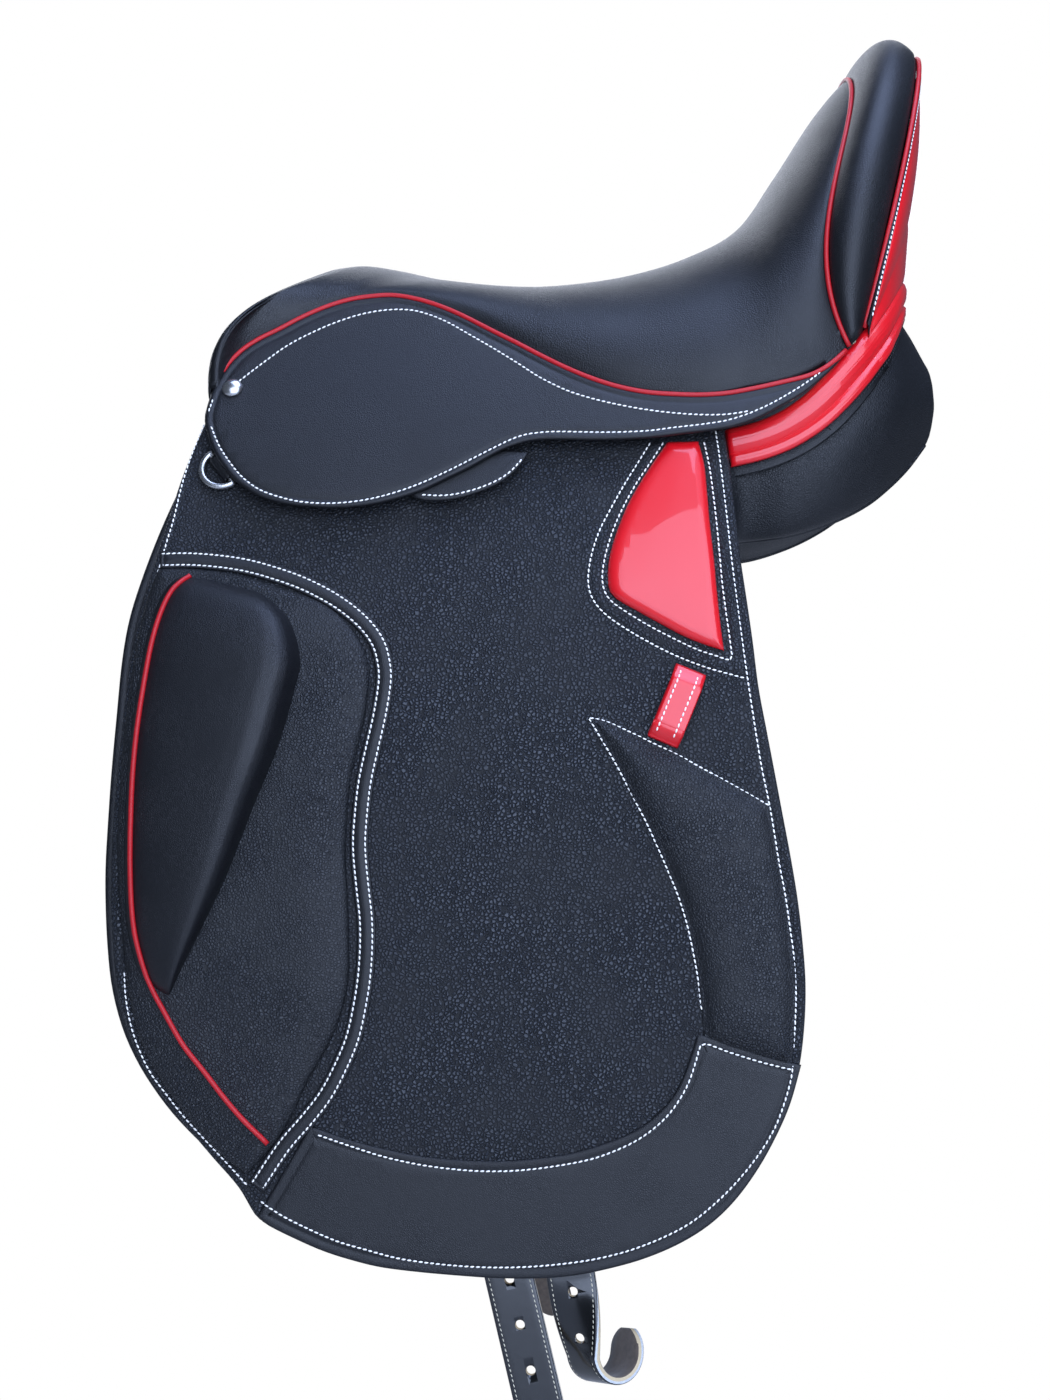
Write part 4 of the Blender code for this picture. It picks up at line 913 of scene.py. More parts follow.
# Patent calf: scarlet under a thick clear lacquer, which pools slightly over the padding
patent, tree, sockets, place = new_material("red_patent_calf", "#dc0f1b", 0.36, Coat_Weight=0.55,
                                            Coat_Roughness=0.03, Coat_IOR=1.55)
ripple = add_node(tree, "TexNoise", {"Vector": place, "Scale": per_mm(30), "Detail": 1.0})
add_node(tree, "Bump", {"Height": ripple, "Distance": 0.0003}, to=sockets["Normal"])
add_node(tree, "Bump", {"Height": ripple, "Distance": 0.00025}, to=sockets["Coat Normal"])
keeper_run = KEEPER_TO - KEEPER_FROM
keeper_across = np.array((-keeper_run[1], keeper_run[0])) / np.linalg.norm(keeper_run)


def keeper_point(s, t, side):
    """Along the strap from top to bottom, and across it. It rises over the leather that it holds."""
    spot = KEEPER_FROM + keeper_run * s - keeper_across * KEEPER_W * (t - 0.5)
    rise = KEEPER_RISE * (eased(s / KEEPER_END) * eased((1 - s) / KEEPER_END)) ** 0.7
    crown = 0.0006 * (1 - (2 * t - 1) ** 4)
    return on_side(*spot, 0.0004 + rise + crown, side)


keeper_seams = [[KEEPER_FROM + keeper_run * s + keeper_across * reach for s in (0.06, 0.94)]
                for reach in (-KEEPER_SEAM, KEEPER_SEAM)]
flap_seams = [FRAME_INNER, FRAME_OUTER, REAR_PAD[:8], [*REAR_PAD[18:], REAR_PAD[0]], PATCH_SEAM, *FLAP_SEAMS]
for letter, side in SIDES:
    body = f"flap_{letter}"
    inset = sewn(f"patent_panel_{letter}", PATENT_LINE, 0.0002,
                 tenths((0, 6), (6, 18), (16, 31), (32, 40), (56, 46), (200, 52)),
                 side, patent, body, corners=(0, 1, 8), grid=0.0035)
    stands_for(inset, f"patent_inset_{letter}", "red_patent_leather")
    pad = sewn(f"rear_pad_leather_{letter}", REAR_PAD, 0.0001, REAR_PAD_PROFILE, side, pad_calf, body,
               corners=(0, 7, 13, 17), grid=0.005)
    stands_for(pad, f"rear_pad_{letter}", "black_leather")
    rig.padded(pad, fill=0.8)
    border = sewn(f"patent_border_leather_{letter}", BORDER, -0.0008,
                  tenths((0, 8), (8, 13), (18, 18), (34, 21)), side, grained, body,
                  corners=(0, 16, 17, 20, 21, 28))
    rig.slot(border, "grained_leather")
    patch = sewn(f"lower_patch_leather_{letter}", PATCH, 0.0001, PATCH_PROFILE, side, smooth, body,
                 corners=(0, 13, 17, 36))
    stands_for(patch, f"lower_patch_{letter}", "smooth_leather")
    strap = skin(f"patent_keeper_{letter}", 40, 10, lambda s, t: keeper_point(s, t, side), -side * KEEPER_T,
                 patent, body)
    stands_for(strap, f"strap_keeper_{letter}", "red_patent_leather")
    stitches(f"keeper_stitching_{letter}", keeper_seams, [strap], side, body)
    stitches(f"flap_stitching_{letter}", flap_seams, [flaps[letter], border, pad, patch], side, body)

# Skirts and nails
# Each skirt is one smooth calf shape, folded where it hangs over the stirrup bar. Its top is nailed and sewn
# under the seat, and its lower half lifts with the hand. A lining skirt lies below it, and a nickel nail
# holds its front.
SKIRT_LINE = tenths(
    (-1765, 620), (-1772, 551), (-1745, 450), (-1703, 352), (-1640, 262), (-1571, 185), (-1435, 99),
    (-1274, 53), (-1077, 34), (-940, 36), (-811, 52), (-680, 83), (-553, 126), (-420, 190), (-291, 254),
    (-180, 318), (-97, 359), (-10, 388), (81, 403), (220, 402), (371, 397), (510, 398), (654, 404),
    (760, 415), (867, 428), (980, 440), (1080, 455), (1150, 473), (1225, 500), (1300, 535), (1372, 576),
    (1450, 620), (1520, 665), (1600, 732), (1673, 802), (1735, 875),
)
SEAM_LINE = tenths(
    (-1750, 690), (-1725, 760), (-1690, 830), (-1645, 902), (-1575, 975), (-1490, 1034), (-1396, 1083),
    (-1264, 1158), (-1130, 1221), (-990, 1265), (-854, 1284), (-745, 1286), (-635, 1266), (-512, 1226),
    (-369, 1160), (-167, 1044), (-33, 968), (83, 899), (230, 818), (376, 750), (516, 701), (661, 668),
    (806, 654), (950, 648), (1089, 655), (1234, 680), (1380, 712), (1525, 748), (1613, 790), (1680, 840),
    (1740, 895),
)
SKIRT_SEAMS = (
    tenths((-1596, 769), (-1479, 869), (-1334, 984), (-1190, 1066), (-1057, 1126), (-917, 1172), (-782, 1194),
           (-652, 1192), (-550, 1165), (-436, 1112), (-300, 1026), (-166, 939), (-33, 847), (82, 765),
           (229, 685), (374, 633), (514, 596), (658, 566), (802, 545), (945, 533), (1084, 533), (1200, 550)),
    tenths((-1730, 669), (-1750, 592), (-1731, 510), (-1677, 392), (-1605, 288), (-1534, 208), (-1437, 139),
           (-1314, 94), (-1209, 70), (-1078, 60), (-942, 66), (-812, 87), (-683, 122), (-554, 170),
           (-420, 232), (-291, 298), (-162, 365), (-70, 410), (0, 434), (90, 446), (189, 449), (441, 441),
           (655, 446), (799, 463), (943, 478), (1082, 499), (1200, 536), (1303, 582), (1410, 642),
           (1522, 714), (1595, 771), (1680, 843)),
)
UNDER_SKIRT = tenths(
    (-640, 300), (-620, 120), (-560, 78), (-450, 72), (-340, 88), (-200, 135), (-100, 190), (-20, 270),
    (20, 340), (-300, 360),
)
UNDER_SEAM = tenths((-560, 106), (-440, 100), (-320, 118), (-190, 162), (-90, 220), (-15, 300))
NAIL_AT = (-0.1625, 0.0730)
# The nail's dome, from its foot: radius, height
NAIL_DOME = tenths(
    (0, 0), (54, 0), (58, 5), (57, 11), (51, 19), (43, 26), (33, 31), (22, 34), (11, 36), (0, 36),
)
SKIRT_RELIEF = 0.0005
# The fold bends from this far above it to this far below
FOLD_ABOVE, FOLD_BELOW = 0.010, 0.012
# The free half of the skirt ends here, towards the rear
FREE_TO_X = 0.125


def turned(name, outline, spot, lift, side, material):
    """A turned piece, from its outline as radius and height, standing on the side of the saddle."""
    mesh = bmesh.new()
    verts = [mesh.verts.new((radius, 0, height)) for radius, height in outline]
    edges = [mesh.edges.new(pair) for pair in zip(verts, verts[1:])]
    bmesh.ops.spin(mesh, geom=verts + edges, axis=(0, 0, 1), cent=(0, 0, 0), steps=32, angle=2 * math.pi,
                   use_merge=True)
    bmesh.ops.remove_doubles(mesh, verts=mesh.verts[:], dist=1e-6)
    base = on_side(*spot, lift, side)
    ahead = on_side(spot[0] + 0.001, spot[1], lift, side) - base
    up = on_side(spot[0], spot[1] + 0.001, lift, side) - base
    turn = (up.cross(ahead) * side).normalized().to_track_quat("Z", "Y").to_matrix().to_4x4()
    bmesh.ops.transform(mesh, matrix=Matrix.Translation(base) @ turn, verts=mesh.verts[:])
    return finish(name, mesh, material, "saddle")


# Nickel plate: bright, with a fine brushed haze
nickel, tree, sockets, place = new_material("nickel_plate", "#c9c8c5", 0.28, Metallic=1.0)
haze = add_node(tree, "TexNoise", {"Vector": place, "Scale": per_mm(3), "Detail": 3.0})
add_node(tree, "MapRange", {0: haze, 3: 0.22, 4: 0.34}, to=sockets["Roughness"])

SKIRT_PROFILE = tenths(
    (0, 5), (4, 13), (10, 21), (18, 24), (28, 24), (38, 19), (45, 16), (52, 19), (66, 23), (3000, 23),
)
whole_skirt = np.concatenate((SKIRT_LINE, SEAM_LINE[::-1]))
for letter, side in SIDES:
    skirt = sewn(f"skirt_leather_{letter}", whole_skirt, SKIRT_LIFT + SKIRT_RELIEF, SKIRT_PROFILE, side,
                 smooth, None, corners=(0, 35))
    upper = skirt.copy()
    upper.data = skirt.data.copy()
    upper.name = upper.data.name = f"skirt_top_leather_{letter}"
    scene.collection.objects.link(upper)
    for half, keep in ((skirt, -1), (upper, 1)):
        mesh = bmesh.new()
        mesh.from_mesh(half.data)
        bmesh.ops.bisect_plane(mesh, geom=mesh.verts[:] + mesh.edges[:] + mesh.faces[:], dist=1e-6,
                               plane_co=(0, 0, FOLD_Z), plane_no=(0, 0, -keep), clear_outer=True)
        rim = [e for e in mesh.edges if e.is_boundary]
        for edge in rim:
            edge.smooth = False
        for face in bmesh.ops.holes_fill(mesh, edges=rim)["faces"]:
            face.smooth = False
        mesh.to_mesh(half.data)
        mesh.free()
    # The leather bends from the saddle to the flap above the fold, and to its own free half below it
    at = [(0, on_side(0, FOLD_Z, 0, side).y, FOLD_Z + step) for step in (FOLD_ABOVE, 0.0, -FOLD_BELOW)]
    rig.blend(upper, "saddle", f"flap_{letter}", start=at[0], end=at[1])
    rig.blend(skirt, f"flap_{letter}", f"skirt_{letter}", start=at[1], end=at[2])
    stands_for(skirt, f"skirt_{letter}", "smooth_leather")
    stands_for(upper, f"upper_skirt_{letter}", "smooth_leather")
    under = sewn(f"under_skirt_leather_{letter}", UNDER_SKIRT, SKIRT_LIFT - 0.0025,
                 tenths((0, 8), (5, 16), (14, 20), (3000, 20)), side, smooth, f"skirt_{letter}",
                 corners=(0, 8))
    stands_for(under, f"under_skirt_{letter}", "black_leather")
    low = [(x, z) for x, z in SKIRT_SEAMS[1] if z < FOLD_Z + 0.002 and x < FREE_TO_X]
    stitches(f"skirt_stitching_{letter}", [low], [skirt, upper], side, f"skirt_{letter}")
    stitches(f"under_skirt_stitching_{letter}", [UNDER_SEAM], [under], side, f"skirt_{letter}")
    high = [[(x, z) for x, z in SKIRT_SEAMS[0] if z > FOLD_Z - 0.0025],
            SKIRT_SEAMS[1][:2], SKIRT_SEAMS[1][-6:]]
    stitches(f"skirt_top_stitching_{letter}", high, [skirt, upper], side, "saddle")
    bead = [on_side(x, z, SEAT_LIFT - 0.0002, side) for x, z in spline(SEAM_LINE[2:], 0.003)]
    piping = tube(f"skirt_piping_cover_{letter}", bead, PIPING_R, red_piping)
    stands_for(piping, f"skirt_piping_{letter}", "red_piping")
    nail = turned(f"skirt_nail_{letter}", NAIL_DOME, NAIL_AT, SEAT_LIFT + 0.0002, side, nickel)
    stands_for(nail, f"nail_{letter}", "chrome")

# D rings
# A cast D ring, nickel plated, hangs under the front of each skirt. A calf chape is folded round its straight
# bar, and the ring swings on it.
RING_AT = np.array((-0.1665, 0.0275))
BAR_WAY = np.array((0.610, -0.792))
RING_R, RING_WIRE, RING_LIFT = 0.0113, 0.0019, 0.0042
CHAPE_W, CHAPE_REACH, CHAPE_T = 0.016, 0.011, 0.0012
CHAPE_BEND_R = RING_WIRE + 0.0004 + CHAPE_T / 2
for letter, side in SIDES:
    middle, ahead = (on_side(*(RING_AT + BAR_WAY * step), RING_LIFT - BEND_EASE, side) for step in (0, 0.01))
    bar = (ahead - middle).normalized()
    out = Vector((-SPREAD, side, 0.4)).normalized()
    hang = bar.cross(out).normalized()
    hang = hang if hang.z < 0 else -hang
    points = [middle + bar * RING_R * s for s in np.linspace(-1, 1, 13)[:-1]]
    points += [middle + (bar * math.cos(a) + hang * math.sin(a)) * RING_R
               for a in np.linspace(0, math.pi, 48)[:-1]]
    ring = tube(f"dee_{letter}", points, RING_WIRE, nickel, f"dring_{letter}", 16, closed=True)
    stands_for(ring, f"dring_{letter}", "chrome")

    def chape_skin(s, t):
        """Down the outer leaf, round the bar and back up the inner one."""
        bend = math.pi * CHAPE_BEND_R
        reach = s * (2 * CHAPE_REACH + bend) - CHAPE_REACH
        low, high = reach, CHAPE_BEND_R
        if reach >= bend:
            low, high = bend - reach, -CHAPE_BEND_R
        elif reach >= 0:
            angle = math.pi / 2 - reach / CHAPE_BEND_R
            low, high = CHAPE_BEND_R * math.cos(angle), CHAPE_BEND_R * math.sin(angle)
        return middle + bar * CHAPE_W * (t - 0.5) + hang * low + out * high

    chape = skin(f"dee_chape_{letter}", 40, 10, chape_skin, CHAPE_T, smooth, f"flap_{letter}")
    stands_for(chape, f"dring_chape_{letter}", "black_leather")

# Cantle
# A padded roll of the seat's calf rises between two red pipings round the cantle. Behind them a stitched calf
# binding closes the edge, and a red patent cover is strained over the back. A padded patent band hides the
# tacks at its foot.
CANTLE_HEART = np.array((0.205, 0.0, 0.150))
RIM_ROW = tenths(2310, 2810, 1840, 1010, 0)
ROLL_BULGE = 0.35
# The roll's skin is tucked in this far along both edges, over a share of its width
ROLL_TUCK, ROLL_TUCK_SHARE = 0.0022, 0.06
BACK_ROW = (0.222, 0.150, 0.186, 0.097)
BACK_HALF_W = 0.120
BACK_T, BACK_PUFF = 0.0016, 0.003
# The back cover starts this far under the binding and ends past its foot, at this share of the way to it
BACK_UNDER, BACK_END = 0.0012, 1.12
# The back faces more to the rear than a plain arc would, and the band's face is tilted up
REAR_BIAS, BAND_TILT = 0.2, 0.2
BINDING_W, BINDING_T = 0.009, 0.0014
# How far the binding stands off, puffs up between its edges, and is drawn in by its stitches
BINDING_OFF, BINDING_PUFF, BINDING_DRAWN = 0.0006, 0.0012, 0.0008
# Where their stitches lie across the binding and the band
BINDING_SEAM, CANTLE_BAND_SEAM = 0.62, 0.70
CANTLE_BAND = tenths(
    (1100, 1212, 362), (1270, 1240, 400), (1420, 1250, 460), (1560, 1250, 550), (1680, 1240, 660),
    (1790, 1210, 780), (1880, 1165, 890), (1990, 1080, 1040), (2090, 880, 1210), (2160, 520, 1310),
    (2190, 0, 1350),
)
CANTLE_BAND_W, CANTLE_BAND_T = 0.0205, 0.0014
# The band's padding fades out over this share of its length at each end
CANTLE_BAND_END = 0.012
# The black stitches at its foot: length, width, pitch
WHIPPING = (0.0018, 0.0009, 0.0022)
# Across the band from its upper edge: share of its width, height in metres
BAND_SECTION = np.array((
    (0.0, 0.0), (0.02, 0.0016), (0.08, 0.0032), (0.20, 0.0046), (0.36, 0.0050), (0.50, 0.0042),
    (0.60, 0.0027), (0.66, 0.0014), (0.70, 0.0011), (0.74, 0.0016), (0.82, 0.0026), (0.90, 0.0024),
    (0.97, 0.0014), (1.0, 0.0),
))


def to_heart(spot):
    return (CANTLE_HEART - spot) / np.linalg.norm(CANTLE_HEART - spot)


def roll_point(share, v):
    """On the cantle roll: share of the way from its front piping to its rear one, v as on the seat."""
    front, rim = across_seat(SEAT_ROWS[-1], v, 0), across_seat(RIM_ROW, v, 0)
    spot = front + (rim - front) * share
    return spot - to_heart(spot) * ROLL_BULGE * np.linalg.norm(rim - front) * math.sin(math.pi * share)


def back_point(share, v):
    """On the back of the cantle, from the rear piping down to the foot."""
    bx, bz, sx, sz = BACK_ROW
    angle = math.pi / 2 * v
    low = 1 - math.cos(angle)
    foot = np.array((bx + (sx - bx) * low, BACK_HALF_W * math.sin(angle), bz + (sz - bz) * low))
    spot = across_seat(RIM_ROW, v, 0) * (1 - share) + foot * share
    puff = BACK_PUFF * math.sin(math.pi * min(share * 1.4, 1))
    return spot + np.array((math.cos(angle), math.sin(angle), 0)) * puff


def outward(v):
    """The level way out of the cantle's back."""
    angle = math.pi / 2 * v
    return Vector((math.cos(angle) + REAR_BIAS, math.sin(angle), 0)).normalized()


def threaded(name, places, material, body, *sizes):
    """One row of stitches as its own object, along (point, way out) pairs."""
    mesh = bmesh.new()
    add_row(mesh, [point for point, _ in places], [out for _, out in places], *sizes)
    finish(name, mesh, material, body)


def roll_skin(s, t):
    v = 2 * t - 1
    tuck = ROLL_TUCK * (1 - min(s, 1 - s, ROLL_TUCK_SHARE) / ROLL_TUCK_SHARE) ** 2
    spot = roll_point(0.03 + 0.94 * s, v)
    return Vector(spot + to_heart(spot) * tuck)


roll = skin("cantle_roll_leather", 24, 96, roll_skin, -COVER_T, calf)
stands_for(roll, "cantle_facing", "black_leather")
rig.padded(roll, fill=0.9)


def back_share(v, width):
    """A width measured down the cantle's back, as a share of the way to its foot."""
    return width / np.linalg.norm(back_point(1, v) - back_point(0, v))


def binding_skin(s, t):
    """A strip just behind the rear piping, puffed up, with its stitches drawn in."""
    v = (2 * t - 1) * 0.985
    drawn = BINDING_DRAWN * math.exp(-((s - BINDING_SEAM) / 0.12) ** 2)
    puff = BINDING_OFF + BINDING_PUFF * (1 - (2 * s - 1) ** 2) - drawn
    return Vector(back_point(back_share(v, BINDING_W * s), v)) + outward(v) * puff


binding = skin("cantle_binding", 12, 110, binding_skin, -BINDING_T, smooth)
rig.slot(binding, "black_leather")


def back_skin(s, t):
    """From under the binding's edge to below the band."""
    v = (2 * t - 1) * 0.98
    start = min(back_share(v, BINDING_W - BACK_UNDER), 0.9)
    crown = 0.0010 * (1 - (2 * s - 1) ** 8)
    reach = start + (BACK_END - start) * s
    return Vector(back_point(reach, v)) + outward(v) * (crown - 0.0003 - 0.02 * max(reach - 1.0, 0.0))


back = skin("cantle_back_cover", 30, 90, back_skin, -BACK_T, patent)
stands_for(back, "cantle_back", "red_patent_leather")

spread = np.linspace(-1, 1, 150)
front_line = [across_seat(SEAT_ROWS[-1], v, 0) for v in spread]
front_line = [spot - to_heart(spot) * 0.0006 for spot in front_line]
rear_line = [Vector(across_seat(RIM_ROW, v, 0)) + outward(v) * 0.0006 for v in spread * 0.995]
for end, line in (("front", front_line), ("rear", rear_line)):
    bead = tube(f"cantle_{end}_bead", line, PIPING_R, red_piping)
    stands_for(bead, f"cantle_{end}_piping", "red_piping")

seam = [(binding_skin(BINDING_SEAM, (v + 1) / 2) + outward(v) * 0.0004, outward(v)) for v in spread * 0.97]
threaded("binding_stitching", seam, thread, "saddle")

band_line = np.concatenate((CANTLE_BAND, (CANTLE_BAND * (1, -1, 1))[-2::-1]))


def band_frame(s):
    """The band's middle at s, from its right end to its left one, the way out and the way up across it."""
    last = len(band_line) - 1
    u = s * last
    spot = between_rows(band_line, u)
    along = between_rows(band_line, min(u + 0.05, last)) - between_rows(band_line, max(u - 0.05, 0))
    along = Vector(along).normalized()
    out = Vector((along.y, -along.x, 0)).normalized()
    if out.dot(Vector((spot[0] - 0.1, spot[1], 0))) < 0:
        out = -out
    out += Vector((0, 0, BAND_TILT))
    out = (out - along * out.dot(along)).normalized()
    return Vector(spot), out, along.cross(out).normalized()


def band_point(s, t):
    """On the band's face: s along it, t from its upper edge to its lower one."""
    spot, out, up = band_frame(s)
    ends = min(s, 1 - s) / CANTLE_BAND_END
    high = np.interp(t, *BAND_SECTION.T) * min(1.0, ends ** 0.5 if ends > 0 else 0.0)
    return spot + up * CANTLE_BAND_W * (0.5 - t) + out * (high - 0.0008)


cover = skin("cantle_band_cover", 260, 44, band_point, -CANTLE_BAND_T, patent)
stands_for(cover, "cantle_band", "red_patent_leather")
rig.padded(cover, fill=0.7)
seam = [(band_point(s, CANTLE_BAND_SEAM) + band_frame(s)[1] * 0.0002, band_frame(s)[1])
        for s in np.linspace(0.006, 0.994, 260)]
threaded("cantle_band_stitching", seam, thread, "saddle")


def side_lining_skin(s, t):
    """Behind the band, from its lower edge up under the seat."""
    spot, out, up = band_frame(s)
    return spot + up * (0.037 * t - 0.015) + out * (0.0064 * t - 0.0040)


tuck = skin("cantle_side_lining", 120, 6, side_lining_skin, -0.0010, smooth)
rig.slot(tuck, "black_leather")
# Waxed linen, dyed black: it sews the band's foot down and hardly shows
black_thread = new_material("waxed_black_thread", "#0c0d10", 0.45)[0]
seam = [(band_point(s, 1.0) - band_frame(s)[2] * 0.0010 + band_frame(s)[1] * 0.0006, band_frame(s)[1])
        for s in np.linspace(0.01, 0.99, 260)]
threaded("cantle_band_whipping", seam, black_thread, "saddle", *WHIPPING)

# Panels and gullet lining
# Two long bags of soft calf stuffed with wool flock, drawn up at the rear into a gusset. A welt closes the
# bottom seam of each. Between them the channel is lined with the same calf.
CHANNEL_HALF = 0.038
LINING_HALF = CHANNEL_HALF - 0.0004
LINING_X, LINING_L, LINING_Z, LINING_BOW = -0.1750, 0.375, 0.0587, 0.0010
# The gusset's foot, and the share of the band that its top takes to each side of the middle
GUSSET_X, GUSSET_Z, GUSSET_HALF = 0.198, 0.0588, 0.13
PANEL_TOP = 0.059
PANEL_IN = 0.0136
# Front rows: x, z of the channel's lower edge and of the outer side's. Rear rows: x, z of the channel's top,
# half width and height of four points down the outside, z of the channel's lower edge
PANEL_FRONT = tenths(
    (-1720, 100, -700), (-1200, 300, -620), (-600, 330, -450), (0, 300, -280), (550, 260, -200),
    (1000, 230, -180),
)
PANEL_REAR = tenths(
    (1180, 580, 1100, 540, 1170, 400, 1190, 120, 1100, -120, 210),
    (1450, 600, 1120, 600, 1200, 460, 1225, 180, 1120, -80, 200),
    (1700, 720, 1070, 730, 1160, 620, 1210, 320, 1080, 10, 220),
    (1900, 960, 1000, 980, 1080, 880, 1140, 480, 980, 120, 280),
    (2050, 1160, 820, 1160, 920, 1020, 1040, 620, 860, 240, 360),
    (2180, 1080, 620, 1100, 780, 960, 880, 660, 720, 360, 460),
    (2300, 900, 520, 920, 660, 860, 720, 680, 580, 500, 580),
)
PANEL_BELLY = 0.008
# Points of a front row's outer side, down to its own lowest one, and of the belly from there to the channel
OUTSIDE_Z = (FOLD_Z, 0.020, -0.015)
BELLY_SHARES = (0.3, 0.62, 0.88)


def panel_sections():
    """For each row of the panel, nine points round it from the top of the channel."""
    rows = [(x, PANEL_TOP, [(side_width(x, z) - PANEL_IN, z) for z in (*OUTSIDE_Z, outer_z)], inner_z)
            for x, inner_z, outer_z in PANEL_FRONT]
    rows += [(x, top_z, list(zip(rest[::2], rest[1::2])), inner_z) for x, top_z, *rest, inner_z in PANEL_REAR]
    for x, top_z, outside, inner_z in rows:
        low_y, low_z = outside[-1]
        belly = [(low_y + (CHANNEL_HALF - low_y) * s,
                  low_z + (inner_z - low_z) * s - PANEL_BELLY * math.sin(math.pi * s)) for s in BELLY_SHARES]
        yield [(x, y, z) for y, z in ((CHANNEL_HALF, top_z), *outside, *belly, (CHANNEL_HALF, inner_z))]


PANEL_SECTIONS = np.array(list(panel_sections()))
# The inner side of the section, which is flat, takes the last share of the columns
FLAT_SHARE = 0.14


def panel_point(u, t, side):
    """u along the panel's rows, t round its section. Past the end rows it closes in on their middle."""
    last = len(PANEL_SECTIONS) - 1
    ring = between_rows(PANEL_SECTIONS, min(max(u, 0), last))
    centre = ring.mean(axis=0)
    if t < 1 - FLAT_SHARE:
        spot = between_rows(ring, t / (1 - FLAT_SHARE) * 8)
    else:
        spot = ring[8] + (ring[0] - ring[8]) * (t - 1 + FLAT_SHARE) / FLAT_SHARE
    over = max(-u, u - last, 0.0)
    if over:
        start, bulge = (0.0, 0.006) if u < 0 else (0.5, 0.009)
        turn = start + (math.pi / 2 - start) * min(over, 1.0)
        spot = centre + (spot - centre) * math.cos(turn) / math.cos(start)
        spot = spot + np.array((math.copysign(bulge, u) * (math.sin(turn) - math.sin(start)), 0, 0))
    return Vector((spot[0], side * spot[1], spot[2]))


# Black calf for the panels: soft and unplated, with a fine even pebble
soft = leather("soft_panel_calf", "#0d0f13", 0.42, 1.3, 0.20)
PANEL_U = [-1.0, -0.85, -0.6, -0.35, -0.15, *np.linspace(0, 12, 118), 12.15, 12.35, 12.6, 12.85, 13.0]
for letter, side in SIDES:
    rows = len(PANEL_U) - 1
    mesh = grid_of(rows, 72, lambda s, t: panel_point(PANEL_U[round(s * rows)], t, side))
    bmesh.ops.remove_doubles(mesh, verts=mesh.verts[:], dist=1e-6)
    panel = finish(f"panel_leather_{letter}", mesh, soft, "saddle")
    stands_for(panel, f"panel_{letter}", "flocked_panel")
    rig.padded(panel, fill=0.9)
    low_seam = [panel_point(u, 0.475, side) for u in np.linspace(0.05, 11.9, 150)]
    tube(f"panel_welt_{letter}", low_seam, 0.0012, smooth, sides=8)


def lining_skin(s, t):
    y = LINING_HALF * (2 * t - 1)
    return Vector((LINING_X + LINING_L * s, y, LINING_Z - LINING_BOW * math.cos(math.pi * (2 * t - 1) / 2)))


lining = skin("gullet_lining_leather", 60, 14, lining_skin, LINING_T, smooth)
stands_for(lining, "gullet_lining", "black_leather")


def gusset_skin(s, t):
    """Between the panels at the rear, from the lining up to the band's foot."""
    v = 2 * t - 1
    spot, out, up = band_frame(0.5 - GUSSET_HALF * v)
    top = spot - up * (CANTLE_BAND_W / 2 - 0.003) - out * 0.0045
    foot = Vector((GUSSET_X, LINING_HALF * v, GUSSET_Z))
    return foot.lerp(top, s)


gusset = skin("gullet_rear_gusset", 16, 30, gusset_skin, LINING_T, smooth)
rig.slot(gusset, "black_leather")

# Sweat flaps
# A plain calf flap lies on each panel, under the billets, and keeps them off the horse. It shows as a dark
# edge all round the front of the flap.
SWEAT_LINE = tenths(
    (-1790, 480), (-1870, 290), (-1960, 80), (-2035, -120), (-2108, -345), (-2165, -560), (-2197, -790),
    (-2218, -1100), (-2238, -1389), (-2251, -1636), (-2261, -1883), (-2258, -2086), (-2244, -2309),
    (-2216, -2531), (-2160, -2735), (-2085, -2900), (-1990, -3050), (-1860, -3210), (-1690, -3370),
    (-1500, -3505), (-1000, -3740), (-500, -3830), (0, -3850), (400, -3800), (700, -3690), (950, -3540),
    (1130, -3330), (1240, -3100), (1300, -2850), (1335, -2600), (1330, -2350), (1280, -1900), (1200, -1400),
    (1130, -900), (1080, -500), (1040, -150), (1000, 150), (980, 480),
)
for letter, side in SIDES:
    sweat = sewn(f"sweat_flap_leather_{letter}", SWEAT_LINE, -0.0130,
                 tenths((0, 12), (5, 25), (14, 30), (34, 30), (42, 27), (50, 30), (3000, 30)),
                 side, smooth, "saddle", corners=(0, len(SWEAT_LINE) - 1), grid=0.012, pitch=0.006)
    stands_for(sweat, f"sweat_flap_{letter}", "grained_leather")

# Girth billets
# Two long straps a side, 25 mm wide: black bridle leather over a pale backing, sewn along both edges with
# cream thread and left undyed at the cut edge. The rear one has taken a curl from its keeper.
BILLET_W, BILLET_T = 0.025, 0.0040
# Its stitches lie this far in from each edge and this far off its middle, sunk in the face
BILLET_SEAM, BILLET_FACE = 0.0022, BILLET_T / 2 - 0.0002
# Their length, width and pitch
BILLET_STITCH = (0.0021, 0.0007, 0.0026)
BILLET_TOP_Z = -0.116
HOLE_FROM, HOLE_PITCH, HOLE_R = 0.2935, 0.0235, 0.0025
# Name, its top's x and half width, lean, length, length of the twisted part, and holes
BILLETS = (
    ("front_billet", -0.077, 0.145493, 0.244, 0.410, 0.0, 5),
    ("rear_billet", -0.019, 0.152163, 0.152, 0.327, 0.035, 2),
)
CURL_R, CURL_TURN, CURL_TWIST = 0.014, math.radians(165), math.radians(50)
TWIST_STEPS, CURL_STEPS = 14, 30
# The rounded tip: how far on, and the share of the full width
TIP = ((0.003, 0.98), (0.005, 0.93), (0.007, 0.84), (0.009, 0.70), (0.0108, 0.52), (0.012, 0.33))

